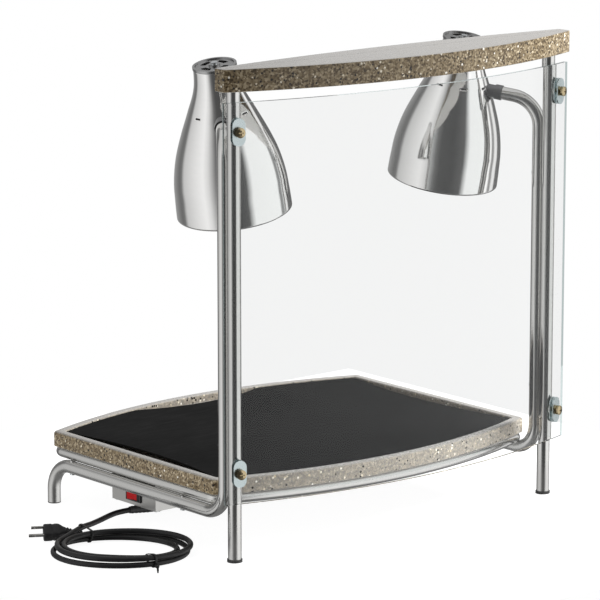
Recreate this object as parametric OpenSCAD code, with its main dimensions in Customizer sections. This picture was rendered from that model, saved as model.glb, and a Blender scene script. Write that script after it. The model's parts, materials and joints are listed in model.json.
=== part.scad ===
// Heated carving station: two bent lamp tubes, two posts, a bowed shelf and guard,
// a rimmed slab with a heated plate, two swivelling heat lamps and a tied mains lead.

/* [Tubes] */
// Outside diameter of the posts and lamp tubes
tube_od = 19; // [16:0.5:22]
// Wall of the posts and lamp tubes
tube_wall = 1.5; // [1:0.1:2.5]
// Distance between the front posts, centre to centre
post_spacing = 586; // [540:2:640]
// Gap between a post and the riser behind it
tube_gap = 1.5; // [1:0.1:4]
// Centreline radius of the foot and rail bends
bend_r = 40; // [30:1:46]
// Height of the side rails above the table
rail_z = 61; // [55:0.5:68]
// Distance from the post line back to the rear feet
foot_back = 421; // [380:1:450]
// Height of the black glide under each post
glide_h = 4; // [3:0.5:8]

/* [Shelf] */
// Height of the shelf's underside above the table
shelf_z = 657; // [640:1:700]
// Thickness of the shelf
shelf_t = 31; // [24:0.5:40]
// Reach of the shelf's straight ends past the posts
shelf_over = 28; // [20:1:36]
// Reach of the shelf's front edge in front of the post line
shelf_front = 80; // [76:1:100]
// Reach of the shelf's back edge behind the post line
shelf_back = 29; // [28:1:40]
// Radius of the shelf's front edge
shelf_front_r = 830; // [790:5:1000]
// Radius of the shelf's back edge
shelf_back_r = 2400; // [2200:50:4000]

/* [Guard] */
// Thickness of the clear guard
guard_t = 6; // [4:0.5:8]
// Radius of the guard's back face
guard_r = 1024; // [1000:2:1060]
// Reach of the guard's upright edges past the posts
guard_over = 25; // [20:1:34]
// Distance of the guard's middle in front of the post line
guard_bow = 57; // [54:0.5:62]
// Height of the guard's lower edge
guard_z0 = 86; // [80:1:95]
// Height of the guard's upper edge
guard_z1 = 642; // [630:1:650]
// Height of the lower guard screws
guard_screw_low = 129; // [118:1:150]
// Height of the upper guard screws
guard_screw_high = 602; // [580:1:615]
// Height of the long washers
washer_l = 38; // [30:1:42]
// Width of the long washers
washer_w = 19; // [18:0.5:24]
// Thickness of the long washers
washer_t = 1.6; // [1:0.1:2]
// Length of the spacer between a post and the rear washer
spacer_t = 2.5; // [2:0.1:4]
// Diameter of the guard screws
guard_screw_d = 6; // [4:0.5:6.5]

/* [Base slab] */
// Width of the slab between its straight sides
slab_w = 588; // [560:2:640]
// Height of the slab's top edge above the table
slab_z = 107; // [105:0.5:112]
// Thickness of the slab
slab_t = 22; // [20:0.5:24]
// Distance from the post line to the middle of the slab's back edge
slab_back = 480; // [470:2:510]
// Reach of the slab's front edge in front of the post line
slab_front = 12; // [8:1:20]
// Radius of the slab's front and back edges
slab_edge_r = 770; // [740:5:900]
// Radius of the slab's corners
slab_corner_r = 10; // [6:1:14]
// Width of the raised rim
rim_w = 15; // [12:0.5:20]
// Depth of the well inside the rim
well_d = 11; // [9:0.5:12]
// Diameter of the bright tube under the slab's edge
edge_tube_d = 15.5; // [12:0.5:15.5]
// Distance of that tube inside the slab's edge
edge_tube_inset = 0; // [0:0.5:3]

/* [Heated plate] */
// Thickness of the carving plate
plate_t = 3; // [2:0.5:4]
// Depth of the plate's face below the rim
plate_drop = 1.5; // [1:0.5:3]
// Gap between the plate and the wall of the well
plate_gap = 2; // [1:0.5:4]
// Depth of the cut-back in each side edge of the plate
side_scoop = 18; // [10:1:24]
// Depth of the cut-back in the back edge of the plate
back_scoop = 34; // [20:1:40]
// Thickness of the heating mat
mat_t = 1.5; // [1:0.1:2.5]
// Width of the heating mat
mat_w = 460; // [400:5:500]
// Length of the heating mat, front to back
mat_l = 330; // [300:5:345]

/* [Lamps] */
// Horizontal distance from a riser to its lamp's axis
lamp_reach = 120.6; // [118:0.2:140]
// Height of the swivel axis where it meets the lamp's axis
lamp_z = 605; // [590:1:620]
// Plan angle of each arm, from across to straight back
arm_angle = 53; // [40:1:70]
// Rise of each arm's end
arm_rise = 9.8; // [4:0.1:12]
// Centreline radius of the gooseneck bend
neck_r = 45; // [40:1:50]
// Turn of the left lamp about its arm
left_turn = -7.5; // [-15:0.5:15]
// Turn of the right lamp about its arm
right_turn = 6.7; // [-15:0.1:15]
// Wall of the spun shade
shade_wall = 1.2; // [0.8:0.1:1.6]
// Height of the shade above the swivel axis
shade_top = 67.6; // [66:0.2:70]
// Length of the shade
shade_l = 212; // [200:1:220]
// Radius of the shade's mouth
shade_mouth_r = 81; // [79:0.5:84]
// Radius of the shade's neck
shade_neck_r = 30; // [29:0.5:32]
// Number of slots around the shade
slot_count = 8; // [6:1:10]
// Radius of the hollow swivel pin
pin_r = 6; // [5:0.5:6.5]
// Radius of the swivel coupling
coupling_r = 11; // [10.8:0.1:12]
// Radius of the reflector bulb
bulb_r = 63.5; // [58:0.5:65]

/* [Control box] */
// Width of the box, across the station
box_w = 64; // [56:1:80]
// Length of the box, front to back
box_l = 102; // [96:1:110]
// Height of the box's underside above the table
box_z = 27; // [26:0.5:30]
// Distance of the box's outer face inside the slab's side
box_in = 18; // [15:0.5:24]
// Distance of the box's middle behind the slab's middle
box_back = 17; // [0:1:60]
// Sheet thickness of the box and its cover
sheet_t = 1.5; // [1:0.1:2]
// Length of the switch frame
switch_l = 34; // [32:0.5:36]
// Height of the switch frame
switch_h = 14; // [13.5:0.5:16]
// Angle of the rocker from level
rocker_lean = 8; // [6:0.5:9]

/* [Mains lead] */
// Diameter of the lead
cord_d = 8; // [7:0.2:8.2]
// Outer radius of the coil's upper loops, across the long way of the oval
coil_r = 95; // [92:1:104]
// Spacing of neighbouring loops in the upper layer
coil_pitch = 9.2; // [9:0.1:11]
// How much shorter each radius is across the narrow way of the oval
coil_squash = 16; // [10:1:20]

/* [Hidden] */
$fn = 96;

// Clearances: a sliding or running fit, an assembled fit, a hole for a screw, and an overshoot for cuts
run_gap = 0.05;
fit_gap = 0.1;
free_gap = 0.3;
cut = 1;

// The post line lies so that the whole station is centred on the origin
post_y = -(slab_back - shelf_front) / 2;
post_x = post_spacing / 2;
riser_y = post_y + tube_od + tube_gap;
foot_y = post_y + foot_back;
tube_r = tube_od / 2;
bore_r = tube_r - tube_wall;

slab_z0 = slab_z - slab_t;
well_z = slab_z - well_d;
plate_z = slab_z - plate_drop - plate_t;
mat_z = plate_z - mat_t;
slab_front_c = post_y - slab_front + slab_edge_r;
slab_back_c = post_y + slab_back - slab_edge_r;
slab_mid = (post_y + slab_back + post_y - slab_front) / 2;
pan_t = 1.2;
pan_z = slab_z0 - pan_t;
edge_tube_z = slab_z0 - edge_tube_d / 2;

shelf_l = post_spacing + 2 * shelf_over;
guard_w = post_spacing + 2 * guard_over;
guard_c = guard_r - guard_bow + post_y;
guard_half = asin(guard_w / 2 / (guard_r + guard_t / 2));
screw_splay = atan(post_x / (guard_c - post_y));
post_to_c = norm([post_x, guard_c - post_y]);
guard_stand = guard_r - post_to_c;
washer_sag = guard_r - sqrt(pow(guard_r, 2) - pow(washer_w / 2, 2));
rear_washer_at = guard_stand - washer_t - washer_sag;

// Points on a circle between two angles
function on_circle(c, r, a) = c + r * [cos(a), sin(a)];
function arc(c, r, a0, a1, n) = [for (i = [0:n]) on_circle(c, r, a0 + (a1 - a0) * i / n)];

// Corner fillet between a straight side at x and a bowed edge: its centre's height on the page
function corner_c(x, cy, big_r, r, up) = cy + up * sqrt(pow(big_r - r, 2) - pow(x - r, 2));

// Half of an outline with straight sides and two bowed edges, from front middle to back middle
edge_steps = 16;
corner_steps = 5;
least_corner_r = 3;
function bowed_half(x, fc, fr, bc, br, r) = let (
    cf = corner_c(x, fc, fr, r, -1), cb = corner_c(x, bc, br, r, 1),
    af = atan2(cf - fc, x - r), ab = atan2(cb - bc, x - r))
    concat(arc([0, fc], fr, -90, af, edge_steps), arc([x - r, cf], r, af, 0, corner_steps),
        arc([x - r, cb], r, 0, ab, corner_steps), arc([0, bc], br, ab, 90, edge_steps));
function mirrored(h) = concat(h, [for (i = [len(h) - 2:-1:1]) [-h[i].x, h[i].y]]);

module bowed(x, fc, fr, bc, br, r) {
    polygon(mirrored(bowed_half(x, fc, fr, bc, br, r)));
}

// The slab's outline, drawn in by a distance
module slab_outline(in) {
    bowed(slab_w / 2 - in, slab_front_c, slab_edge_r - in, slab_back_c, slab_edge_r - in,
        max(slab_corner_r - in, least_corner_r));
}

module tube(od, id, h) {
    difference() {
        cylinder(d = od, h = h);
        translate([0, 0, -cut]) cylinder(d = id, h = h + 2 * cut);
    }
}

module both_sides() {
    children();
    mirror([1, 0, 0]) children();
}

// Front posts, drilled for the guard screws and the riser screws
riser_screw_z = [160, 478];
riser_screw_d = 4;
module post(side) {
    difference() {
        translate([side * post_x, post_y, glide_h]) tube(tube_od, 2 * bore_r, shelf_z - glide_h);
        for (z = [guard_screw_low, guard_screw_high])
            guard_axis(side, z) cylinder(d = guard_screw_d + 2 * fit_gap, h = tube_od);
        for (z = riser_screw_z)
            translate([side * post_x, post_y, z]) rotate([-90, 0, 0])
                cylinder(d = riser_screw_d + 2 * fit_gap, h = tube_od);
    }
}
module left_post() { color("silver") post(-1); }
module right_post() { color("silver") post(1); }

glide_over = 1.25;
glide_stem_h = 16;
module front_glides() {
    color("black") both_sides() translate([post_x, post_y, 0]) {
        cylinder(d = tube_od + 2 * glide_over, h = glide_h);
        cylinder(r = bore_r - fit_gap, h = glide_h + glide_stem_h);
    }
}

// Lamp tube: rear foot, side rail, riser and gooseneck in one length
rear_plug_h = 1.5;
arm_dir = [cos(arm_angle), sin(arm_angle)];
neck_run = (lamp_reach - neck_r * (1 - sin(arm_rise))) / cos(arm_rise);
neck_z = lamp_z - neck_r * cos(arm_rise) - neck_run * sin(arm_rise);
coupling_wall = 5;
coupling_end = 56.8;
coupling_in = coupling_end + coupling_wall;
arm_run = neck_run - coupling_in;
// A bend laps its neighbours by this turn, and is this much thinner there
lap_turn = 0.8;
lap_step = 0.4;
module bend(r, a0, a1, d) {
    rotate([0, 0, a0]) rotate_extrude(angle = a1 - a0) translate([r, 0]) circle(d = d);
}
module lamp_run(d, over) {
    translate([0, foot_y, rear_plug_h - over]) cylinder(d = d, h = rail_z - bend_r - rear_plug_h + over);
    translate([0, foot_y - bend_r, rail_z - bend_r]) rotate([90, 0, 90]) bend(bend_r, 0, 90, d);
    translate([0, riser_y + bend_r, rail_z]) rotate([-90, 0, 0])
        cylinder(d = d, h = foot_y - riser_y - 2 * bend_r);
    translate([0, riser_y + bend_r, rail_z + bend_r]) rotate([90, 0, 90]) bend(bend_r, 180, 270, d);
    translate([0, riser_y, rail_z + bend_r]) cylinder(d = d, h = neck_z - rail_z - bend_r);
    translate([0, riser_y, neck_z]) rotate([0, 0, arm_angle]) rotate([90, 0, 0]) translate([neck_r, 0, 0]) {
        bend(neck_r, 90 + arm_rise - lap_turn, 180 + lap_turn, d - lap_step);
        rotate([0, 0, arm_rise]) translate([0, neck_r, 0]) rotate([0, 90, 0])
            cylinder(d = d, h = arm_run + over);
    }
}
module lamp_tube() {
    difference() {
        lamp_run(tube_od, 0);
        lamp_run(2 * bore_r, cut);
        for (z = riser_screw_z)
            translate([0, riser_y - tube_od, z]) rotate([-90, 0, 0])
                cylinder(d = riser_screw_d + 2 * fit_gap, h = 2 * tube_od);
        for (y = rail_screw_y)
            translate([0, y, rail_z - tube_od]) cylinder(d = rail_screw_d + 2 * fit_gap, h = 2 * tube_od);
    }
}
module left_lamp_tube() { color("silver") translate([-post_x, 0, 0]) lamp_tube(); }
module right_lamp_tube() { color("silver") translate([post_x, 0, 0]) mirror([1, 0, 0]) lamp_tube(); }

rear_stem_h = 14;
module rear_plugs() {
    color("dimgray") both_sides() translate([post_x, foot_y, 0]) {
        cylinder(d = tube_od, h = rear_plug_h);
        cylinder(r = bore_r - fit_gap, h = rear_plug_h + rear_stem_h);
    }
}

// Screws that tie each riser to its post, driven from behind
riser_head_d = 8;
riser_head_t = 1;
module riser_screws() {
    color("gainsboro") both_sides() for (z = riser_screw_z)
        translate([post_x, riser_y + tube_r, z]) rotate([90, 0, 0]) {
            cylinder(d = riser_screw_d, h = tube_od + tube_gap + 2 * tube_wall);
            difference() {
                translate([0, 0, -riser_head_t]) cylinder(d = riser_head_d, h = riser_head_t + tube_wall);
                translate([0, -tube_od, tube_r]) rotate([-90, 0, 0]) cylinder(d = tube_od, h = 2 * tube_od);
            }
        }
}

// Shelf: bowed front, gently bowed back, straight ends
stud_d = 8;
stud_in = 18;
shelf_corner_r = 6;
module shelf() {
    color("rosybrown") difference() {
        translate([0, 0, shelf_z]) linear_extrude(shelf_t)
            bowed(shelf_l / 2, post_y - shelf_front + shelf_front_r, shelf_front_r,
                post_y + shelf_back - shelf_back_r, shelf_back_r, shelf_corner_r);
        both_sides() translate([post_x, post_y, shelf_z - cut])
            cylinder(d = stud_d + 2 * fit_gap, h = stud_in + cut);
    }
}

post_plug_h = 22;
module post_plugs() {
    color("gray") both_sides() translate([post_x, post_y, shelf_z - post_plug_h])
        tube(2 * (bore_r - fit_gap), stud_d + 2 * fit_gap, post_plug_h);
}
module shelf_studs() {
    color("gray") both_sides() translate([post_x, post_y, shelf_z - post_plug_h])
        cylinder(d = stud_d, h = post_plug_h + stud_in - free_gap);
}

// Axis of a guard screw: starts on the post's axis and points square to the guard
module guard_axis(side, z) {
    translate([side * post_x, post_y, z]) rotate([0, 0, side * screw_splay]) rotate([90, 0, 0]) children();
}
module guard_fixings() {
    for (side = [-1, 1], z = [guard_screw_low, guard_screw_high]) guard_axis(side, z) children();
}

guard_hole_d = guard_screw_d + 1;
module guard() {
    color([0.8, 0.95, 0.92, 0.35]) difference() {
        translate([0, guard_c, guard_z0]) rotate([0, 0, -90 - guard_half])
            rotate_extrude(angle = 2 * guard_half, $fn = 200)
                translate([guard_r, 0]) square([guard_t, guard_z1 - guard_z0]);
        guard_fixings() cylinder(d = guard_hole_d, h = guard_stand + guard_t + 3 * cut);
    }
}
// Long washers with half-round ends, upright on each side of the guard
washer_end_steps = 12;
function washer_end(up) = arc([0, up * (washer_l - washer_w) / 2], washer_w / 2,
    up > 0 ? 0 : 180, up > 0 ? 180 : 360, washer_end_steps);
module washer_at(at) {
    translate([0, 0, at]) difference() {
        linear_extrude(washer_t) polygon(concat(washer_end(1), washer_end(-1)));
        translate([0, 0, -cut]) cylinder(d = guard_screw_d + 2 * fit_gap, h = washer_t + 2 * cut);
    }
}
front_washer_at = guard_stand + guard_t;
module front_washers() { color("lightsteelblue") guard_fixings() washer_at(front_washer_at); }
module rear_washers() { color("lightsteelblue") guard_fixings() washer_at(rear_washer_at); }
spacer_d = 13;
module guard_spacers() {
    color("white") difference() {
        guard_fixings() translate([0, 0, rear_washer_at - spacer_t - cut])
            tube(spacer_d, guard_screw_d + 2 * fit_gap, spacer_t + cut);
        both_sides() translate([post_x, post_y, 0]) cylinder(d = tube_od, h = shelf_z);
    }
}
// Each screw has a flat collar and a spring ring caught under its crowned, cross-cut head
screw_collar = [13.5, 1.4];
screw_spring = [11, 2];
screw_head_d = 14;
screw_head_t = 4.5;
screw_crown_r = 13;
screw_tail = 4;
screw_recess = [7, 1.6, 4];
screw_seat = front_washer_at + washer_t;
screw_head_at = screw_seat + screw_collar[1] + screw_spring[1];
module guard_screws() {
    color("goldenrod") guard_fixings() {
        translate([0, 0, bore_r - screw_tail])
            cylinder(d = guard_screw_d, h = screw_seat + cut - bore_r + screw_tail);
        translate([0, 0, screw_seat]) cylinder(d = screw_collar[0], h = screw_collar[1]);
        translate([0, 0, screw_seat]) cylinder(d = screw_spring[0], h = screw_head_at - screw_seat + cut);
        translate([0, 0, screw_head_at]) difference() {
            intersection() {
                cylinder(d = screw_head_d, h = screw_head_t);
                translate([0, 0, screw_head_t - screw_crown_r]) sphere(r = screw_crown_r);
            }
            for (turn = [0, 90])
                translate([0, 0, screw_head_t]) rotate([0, 0, turn]) cube(screw_recess, center = true);
        }
    }
}

// Base slab: raised rim round a well, a wire hole over the control box, blind holes below
box_out = slab_w / 2 - box_in;
box_mid = [-(box_out - box_w / 2), slab_mid + box_back];
wire_hole_d = 16;
wire_in = 14;
wire_at = box_mid + [wire_in, 0];
box_screw_d = 3;
box_screw_up = 7;
rail_screw_d = 5;
rail_screw_fore = 120;
rail_screw_aft = 140;
rail_screw_y = [slab_mid - rail_screw_fore, slab_mid + rail_screw_aft];
rail_screw_x = post_x;
box_post = 8;
module at_box_corners() {
    for (sx = [-1, 1], sy = [-1, 1])
        translate([box_mid.x + sx * (box_w / 2 - sheet_t - box_post / 2),
            box_mid.y + sy * (box_l / 2 - sheet_t - box_post / 2), 0]) children();
}
module at_rail_screws() {
    both_sides() for (y = rail_screw_y) translate([rail_screw_x, y, 0]) children();
}
module base_slab() {
    color("tan") difference() {
        translate([0, 0, slab_z0]) linear_extrude(slab_t) slab_outline(0);
        translate([0, 0, well_z]) linear_extrude(well_d + cut) slab_outline(rim_w);
        translate([wire_at.x, wire_at.y, slab_z0 - cut]) cylinder(d = wire_hole_d, h = slab_t + 2 * cut);
        at_box_corners() translate([0, 0, slab_z0 - cut])
            cylinder(d = box_screw_d + 2 * fit_gap, h = box_screw_up + cut);
    }
}

// Carving plate: follows the well, with the sides and the back cut back in long curves
plate_in = rim_w + plate_gap;
function scoop_r(half, deep) = (half * half + deep * deep) / (2 * deep);
side_half = 165;
side_r = scoop_r(side_half, side_scoop);
back_half = 135;
back_edge = post_y + slab_back - plate_in;
back_r = scoop_r(back_half, back_scoop);
module carving_plate() {
    color([0.12, 0.12, 0.13]) translate([0, 0, plate_z]) linear_extrude(plate_t) difference() {
        slab_outline(plate_in);
        both_sides() translate([slab_w / 2 - plate_in - side_scoop + side_r, slab_mid])
            circle(r = side_r, $fn = 240);
        translate([0, back_edge - back_scoop + back_r]) circle(r = back_r, $fn = 240);
    }
}
module mat_block(z, t) {
    translate([-mat_w / 2, slab_mid - mat_l / 2, z]) cube([mat_w, mat_l, t]);
}
module heating_mat() { color("sienna") mat_block(mat_z, mat_t); }
module insulation_board() {
    color("khaki") difference() {
        mat_block(well_z, mat_z - well_z);
        translate([wire_at.x, wire_at.y, well_z - cut]) cylinder(d = wire_hole_d, h = slab_t);
    }
}

// Sheet pan that closes the slab's underside inside the bright edge tube
pan_in = edge_tube_inset + edge_tube_d + free_gap;
module bottom_pan() {
    color("lightgray") difference() {
        translate([0, 0, pan_z]) linear_extrude(pan_t) slab_outline(pan_in);
        translate([wire_at.x, wire_at.y, pan_z - cut]) cylinder(d = wire_hole_d, h = pan_t + 2 * cut);
        at_box_corners() translate([0, 0, pan_z - cut])
            cylinder(d = box_screw_d + 2 * fit_gap, h = pan_t + 2 * cut);
    }
}

// Tube ring under the slab's edge: four corner bends, two straights and two long bows
ring_in = edge_tube_inset + edge_tube_d / 2;
ring_x = slab_w / 2 - ring_in;
ring_big = slab_edge_r - ring_in;
ring_corner = 16;
ring_cf = corner_c(ring_x, slab_front_c, ring_big, ring_corner, -1);
ring_cb = corner_c(ring_x, slab_back_c, ring_big, ring_corner, 1);
ring_af = atan2(ring_cf - slab_front_c, ring_x - ring_corner);
ring_ab = atan2(ring_cb - slab_back_c, ring_x - ring_corner);
module edge_tube() {
    color("silver") translate([0, 0, edge_tube_z]) {
        translate([0, slab_front_c, 0]) bend(ring_big, -180 - ring_af, ring_af, edge_tube_d);
        translate([0, slab_back_c, 0]) bend(ring_big, ring_ab, 180 - ring_ab, edge_tube_d);
        both_sides() {
            translate([ring_x - ring_corner, ring_cf, 0])
                bend(ring_corner, ring_af - lap_turn, lap_turn, edge_tube_d - lap_step);
            translate([ring_x - ring_corner, ring_cb, 0])
                bend(ring_corner, -lap_turn, ring_ab + lap_turn, edge_tube_d - lap_step);
            translate([ring_x, ring_cf, 0]) rotate([-90, 0, 0])
                cylinder(d = edge_tube_d, h = ring_cb - ring_cf);
        }
    }
}

// Low saddles and screws that hold the edge tube on the side rails
saddle_d = 9;
saddle_lap = 2;
ring_bottom = slab_z0 - edge_tube_d;
rail_head_d = 9;
rail_head_t = 1;
module rail_spacers() {
    color("silver") difference() {
        at_rail_screws() translate([0, 0, rail_z])
            cylinder(d = saddle_d, h = ring_bottom + saddle_lap - rail_z);
        at_rail_screws() translate([0, 0, rail_z - cut])
            cylinder(d = rail_screw_d + 2 * fit_gap, h = tube_od + edge_tube_d);
        both_sides() translate([post_x, slab_mid - mat_l, rail_z]) rotate([-90, 0, 0])
            cylinder(d = tube_od, h = 2 * mat_l);
        both_sides() translate([ring_x, ring_cf, edge_tube_z]) rotate([-90, 0, 0])
            cylinder(d = edge_tube_d, h = ring_cb - ring_cf);
    }
}
module rail_screws() {
    color("gainsboro") at_rail_screws() {
        translate([0, 0, rail_z - tube_r])
            cylinder(d = rail_screw_d, h = tube_od - free_gap);
        difference() {
            translate([0, 0, rail_z - tube_r - rail_head_t])
                cylinder(d = rail_head_d, h = rail_head_t + tube_wall);
            translate([0, -tube_od, rail_z]) rotate([-90, 0, 0]) cylinder(d = tube_od, h = 2 * tube_od);
        }
    }
}

// Control box: folded shell open at top and bottom, corner posts, a cover below
box_top = pan_z;
cover_z = box_z;
switch_fore = 0.5;
switch_up = 13;
switch_y = box_mid.y - switch_fore;
switch_z = box_z + switch_up;
switch_lip = [1.5, 0.8];
switch_cut_l = switch_l - 2 * switch_lip[0];
switch_cut_h = switch_h - 2 * switch_lip[1];
module control_box() {
    color("lightgray") difference() {
        union() {
            difference() {
                translate([box_mid.x - box_w / 2, box_mid.y - box_l / 2, cover_z + sheet_t])
                    cube([box_w, box_l, box_top - cover_z - sheet_t]);
                translate([box_mid.x - box_w / 2 + sheet_t, box_mid.y - box_l / 2 + sheet_t, cover_z])
                    cube([box_w - 2 * sheet_t, box_l - 2 * sheet_t, box_top]);
            }
            at_box_corners() translate([-box_post / 2, -box_post / 2, cover_z + sheet_t])
                cube([box_post, box_post, box_top - cover_z - sheet_t]);
        }
        at_box_corners() translate([0, 0, cover_z]) cylinder(d = box_screw_d + 2 * fit_gap, h = box_top);
        translate([-box_out - cut, switch_y - switch_cut_l / 2, switch_z - switch_cut_h / 2])
            cube([sheet_t + 2 * cut, switch_cut_l, switch_cut_h]);
    }
}
gland_off = [17, 6.4];
gland_at = box_mid + gland_off;
gland_turn = 168;
gland_stem_r = 7;
module box_cover() {
    color("lightgray") difference() {
        translate([box_mid.x - box_w / 2, box_mid.y - box_l / 2, cover_z]) cube([box_w, box_l, sheet_t]);
        at_box_corners() translate([0, 0, cover_z - cut])
            cylinder(d = box_screw_d + 2 * fit_gap, h = sheet_t + 2 * cut);
        translate([gland_at.x, gland_at.y, cover_z - cut])
            cylinder(r = gland_stem_r + fit_gap, h = sheet_t + 2 * cut);
    }
}
box_head_d = 6;
box_head_t = 1.8;
module box_screws() {
    color("gainsboro") at_box_corners() {
        translate([0, 0, cover_z]) cylinder(d = box_screw_d, h = slab_z0 + box_screw_up - free_gap - cover_z);
        translate([0, 0, cover_z - box_head_t]) cylinder(d = box_head_d, h = box_head_t);
    }
}

// Rocker switch: frame and housing, and the rocker that turns on two stub pins
switch_deep = 22;
rim_out = 2;
rocker_rim = [3.1, 2.1];
rocker_l = switch_l - 2 * rocker_rim[0];
rocker_h = switch_h - 2 * rocker_rim[1];
rocker_pin_r = 1;
rocker_pin_in = 3.5;
rocker_pin_out = 1;
rocker_tip = 2.6;
rocker_dip = 1;
rocker_skirt = 1;
rocker_heel = [3, 4];
rocker_swing = 1.1;
cavity_l = rocker_l + 2 * rocker_swing;
cavity_h = rocker_h + 2 * free_gap;
cavity_deep = 12;
pin_cover = 0.9;
module switch_frame() {
    color([0.08, 0.08, 0.08]) translate([-box_out, switch_y, switch_z]) difference() {
        union() {
            translate([-rim_out, -switch_l / 2, -switch_h / 2]) cube([rim_out, switch_l, switch_h]);
            translate([-cut, -switch_cut_l / 2 + fit_gap, -switch_cut_h / 2 + fit_gap])
                cube([switch_deep, switch_cut_l - 2 * fit_gap, switch_cut_h - 2 * fit_gap]);
        }
        translate([-rim_out - cut, -cavity_l / 2, -cavity_h / 2])
            cube([cavity_deep + rim_out, cavity_l, cavity_h]);
        translate([rocker_pin_in, 0, -switch_h / 2 + pin_cover])
            cylinder(r = rocker_pin_r + run_gap, h = switch_h - 2 * pin_cover);
    }
}
module switch_rocker() {
    color("red") translate([-box_out + rocker_pin_in, switch_y, switch_z]) rotate([0, 0, rocker_lean]) {
        translate([0, 0, -rocker_h / 2]) linear_extrude(rocker_h)
            polygon([[-rocker_pin_in - rocker_tip, -rocker_l / 2], [-rocker_pin_in - rocker_dip, 0],
                [-rocker_pin_in - rocker_tip, rocker_l / 2], [-rocker_skirt, rocker_l / 2],
                rocker_heel, [rocker_heel.x, -rocker_heel.y], [-rocker_skirt, -rocker_l / 2]]);
        translate([0, 0, -rocker_h / 2 - rocker_pin_out])
            cylinder(r = rocker_pin_r, h = rocker_h + 2 * rocker_pin_out);
    }
}

// Terminal block on the box's inner wall and thermostat under the pan
terminal_size = [10, 46, 18];
terminal_up = 25;
terminal_ways = 4;
terminal_bore_d = 5;
terminal_bore_in = 4;
terminal_pitch = terminal_size.y / terminal_ways;
module terminal_block() {
    color("ivory") translate([box_mid.x + box_w / 2 - sheet_t - terminal_size.x,
        box_mid.y - terminal_size.y / 2, box_z + terminal_up]) difference() {
            cube(terminal_size);
            for (i = [0:terminal_ways - 1])
                translate([-cut, (i + 0.5) * terminal_pitch, terminal_size.z / 2]) rotate([0, 90, 0])
                    cylinder(d = terminal_bore_d, h = terminal_bore_in + cut);
        }
}
thermostat_d = 18;
thermostat_h = 12;
thermostat_at = box_mid - [wire_in, 0];
tab = [0.8, 6, 7];
tab_apart = 10;
module thermostat() {
    color("saddlebrown") translate([thermostat_at.x, thermostat_at.y, pan_z - thermostat_h]) {
        cylinder(d = thermostat_d, h = thermostat_h);
        for (s = [-1, 1]) translate([-tab.x / 2, (s * tab_apart - tab.y) / 2, -tab.z])
            cube(tab + [0, 0, cut]);
    }
}
grommet_wall = 2.5;
grommet_lip = 2;
grommet_over = 3;
module wire_grommet() {
    color("black") translate([wire_at.x, wire_at.y, pan_z - grommet_lip]) {
        tube(wire_hole_d - 2 * fit_gap, wire_hole_d - 2 * grommet_wall, well_z - pan_z + grommet_lip);
        tube(wire_hole_d + 2 * grommet_over, wire_hole_d - 2 * grommet_wall, grommet_lip);
    }
}
heater_drop = 24;
module heater_lead() {
    color("white") translate([wire_at.x, wire_at.y, pan_z - heater_drop])
        cylinder(d = wire_hole_d - 2 * grommet_wall - 2 * fit_gap, h = mat_z - pan_z + heater_drop);
}

// Elbow gland below the cover: threaded stem, round elbow, ribbed tapered sleeve
gland_z = 15.5;
gland_reach = 12;
gland_l = 34;
gland_thread = 6;
gland_collar = [2, 7.5];
gland_nut = [3, 4];
elbow_over = 1;
mouth_wall = 1;
gland_ribs = 5;
gland_rib_w = 2.6;
gland_rib_pitch = 6;
gland_rib_in = 4;
gland_taper = 0.35;
module cord_gland() {
    color("black") translate([gland_at.x, gland_at.y, 0]) {
        translate([0, 0, gland_z]) cylinder(r = gland_stem_r, h = cover_z + sheet_t + gland_thread - gland_z);
        translate([0, 0, cover_z - gland_collar[1]])
            cylinder(r = gland_stem_r + gland_collar[0], h = gland_collar[1]);
        translate([0, 0, cover_z + sheet_t])
            cylinder(r = gland_stem_r + gland_nut[0], h = gland_nut[1], $fn = 6);
        translate([0, 0, gland_z]) sphere(r = gland_stem_r + elbow_over);
        translate([0, 0, gland_z]) rotate([0, 0, gland_turn]) rotate([0, 90, 0]) {
            cylinder(r = gland_stem_r, h = gland_reach);
            translate([0, 0, gland_reach])
                cylinder(r1 = gland_stem_r, r2 = cord_d / 2 + mouth_wall, h = gland_l);
            for (i = [0:gland_ribs - 1]) translate([0, 0, gland_reach + gland_rib_in + i * gland_rib_pitch])
                cylinder(r = gland_stem_r - i * gland_taper, h = gland_rib_w);
        }
    }
}

// Cord sweep: rings of points round a path, closed with flat ends
function unit(v) = v / norm(v);
function along(p, i) = unit(p[min(i + 1, len(p) - 1)] - p[max(i - 1, 0)]);
function ring(p, i, r, n) = let (t = along(p, i), s = unit(cross(t, [0, 0, 1])), u = cross(s, t))
    [for (k = [0:n - 1]) p[i] + r * (cos(360 * k / n) * s + sin(360 * k / n) * u)];
module sweep(p, r, n) {
    points = [for (i = [0:len(p) - 1]) each ring(p, i, r, n)];
    sides = [for (i = [0:len(p) - 2], k = [0:n - 1]) let (a = i * n + k, b = i * n + (k + 1) % n)
        each [[a, b, a + n], [b, b + n, a + n]]];
    last = (len(p) - 1) * n;
    ends = [for (k = [1:n - 2]) each [[0, k + 1, k], [last, last + k, last + k + 1]]];
    polyhedron(points, concat(sides, ends));
}

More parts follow.
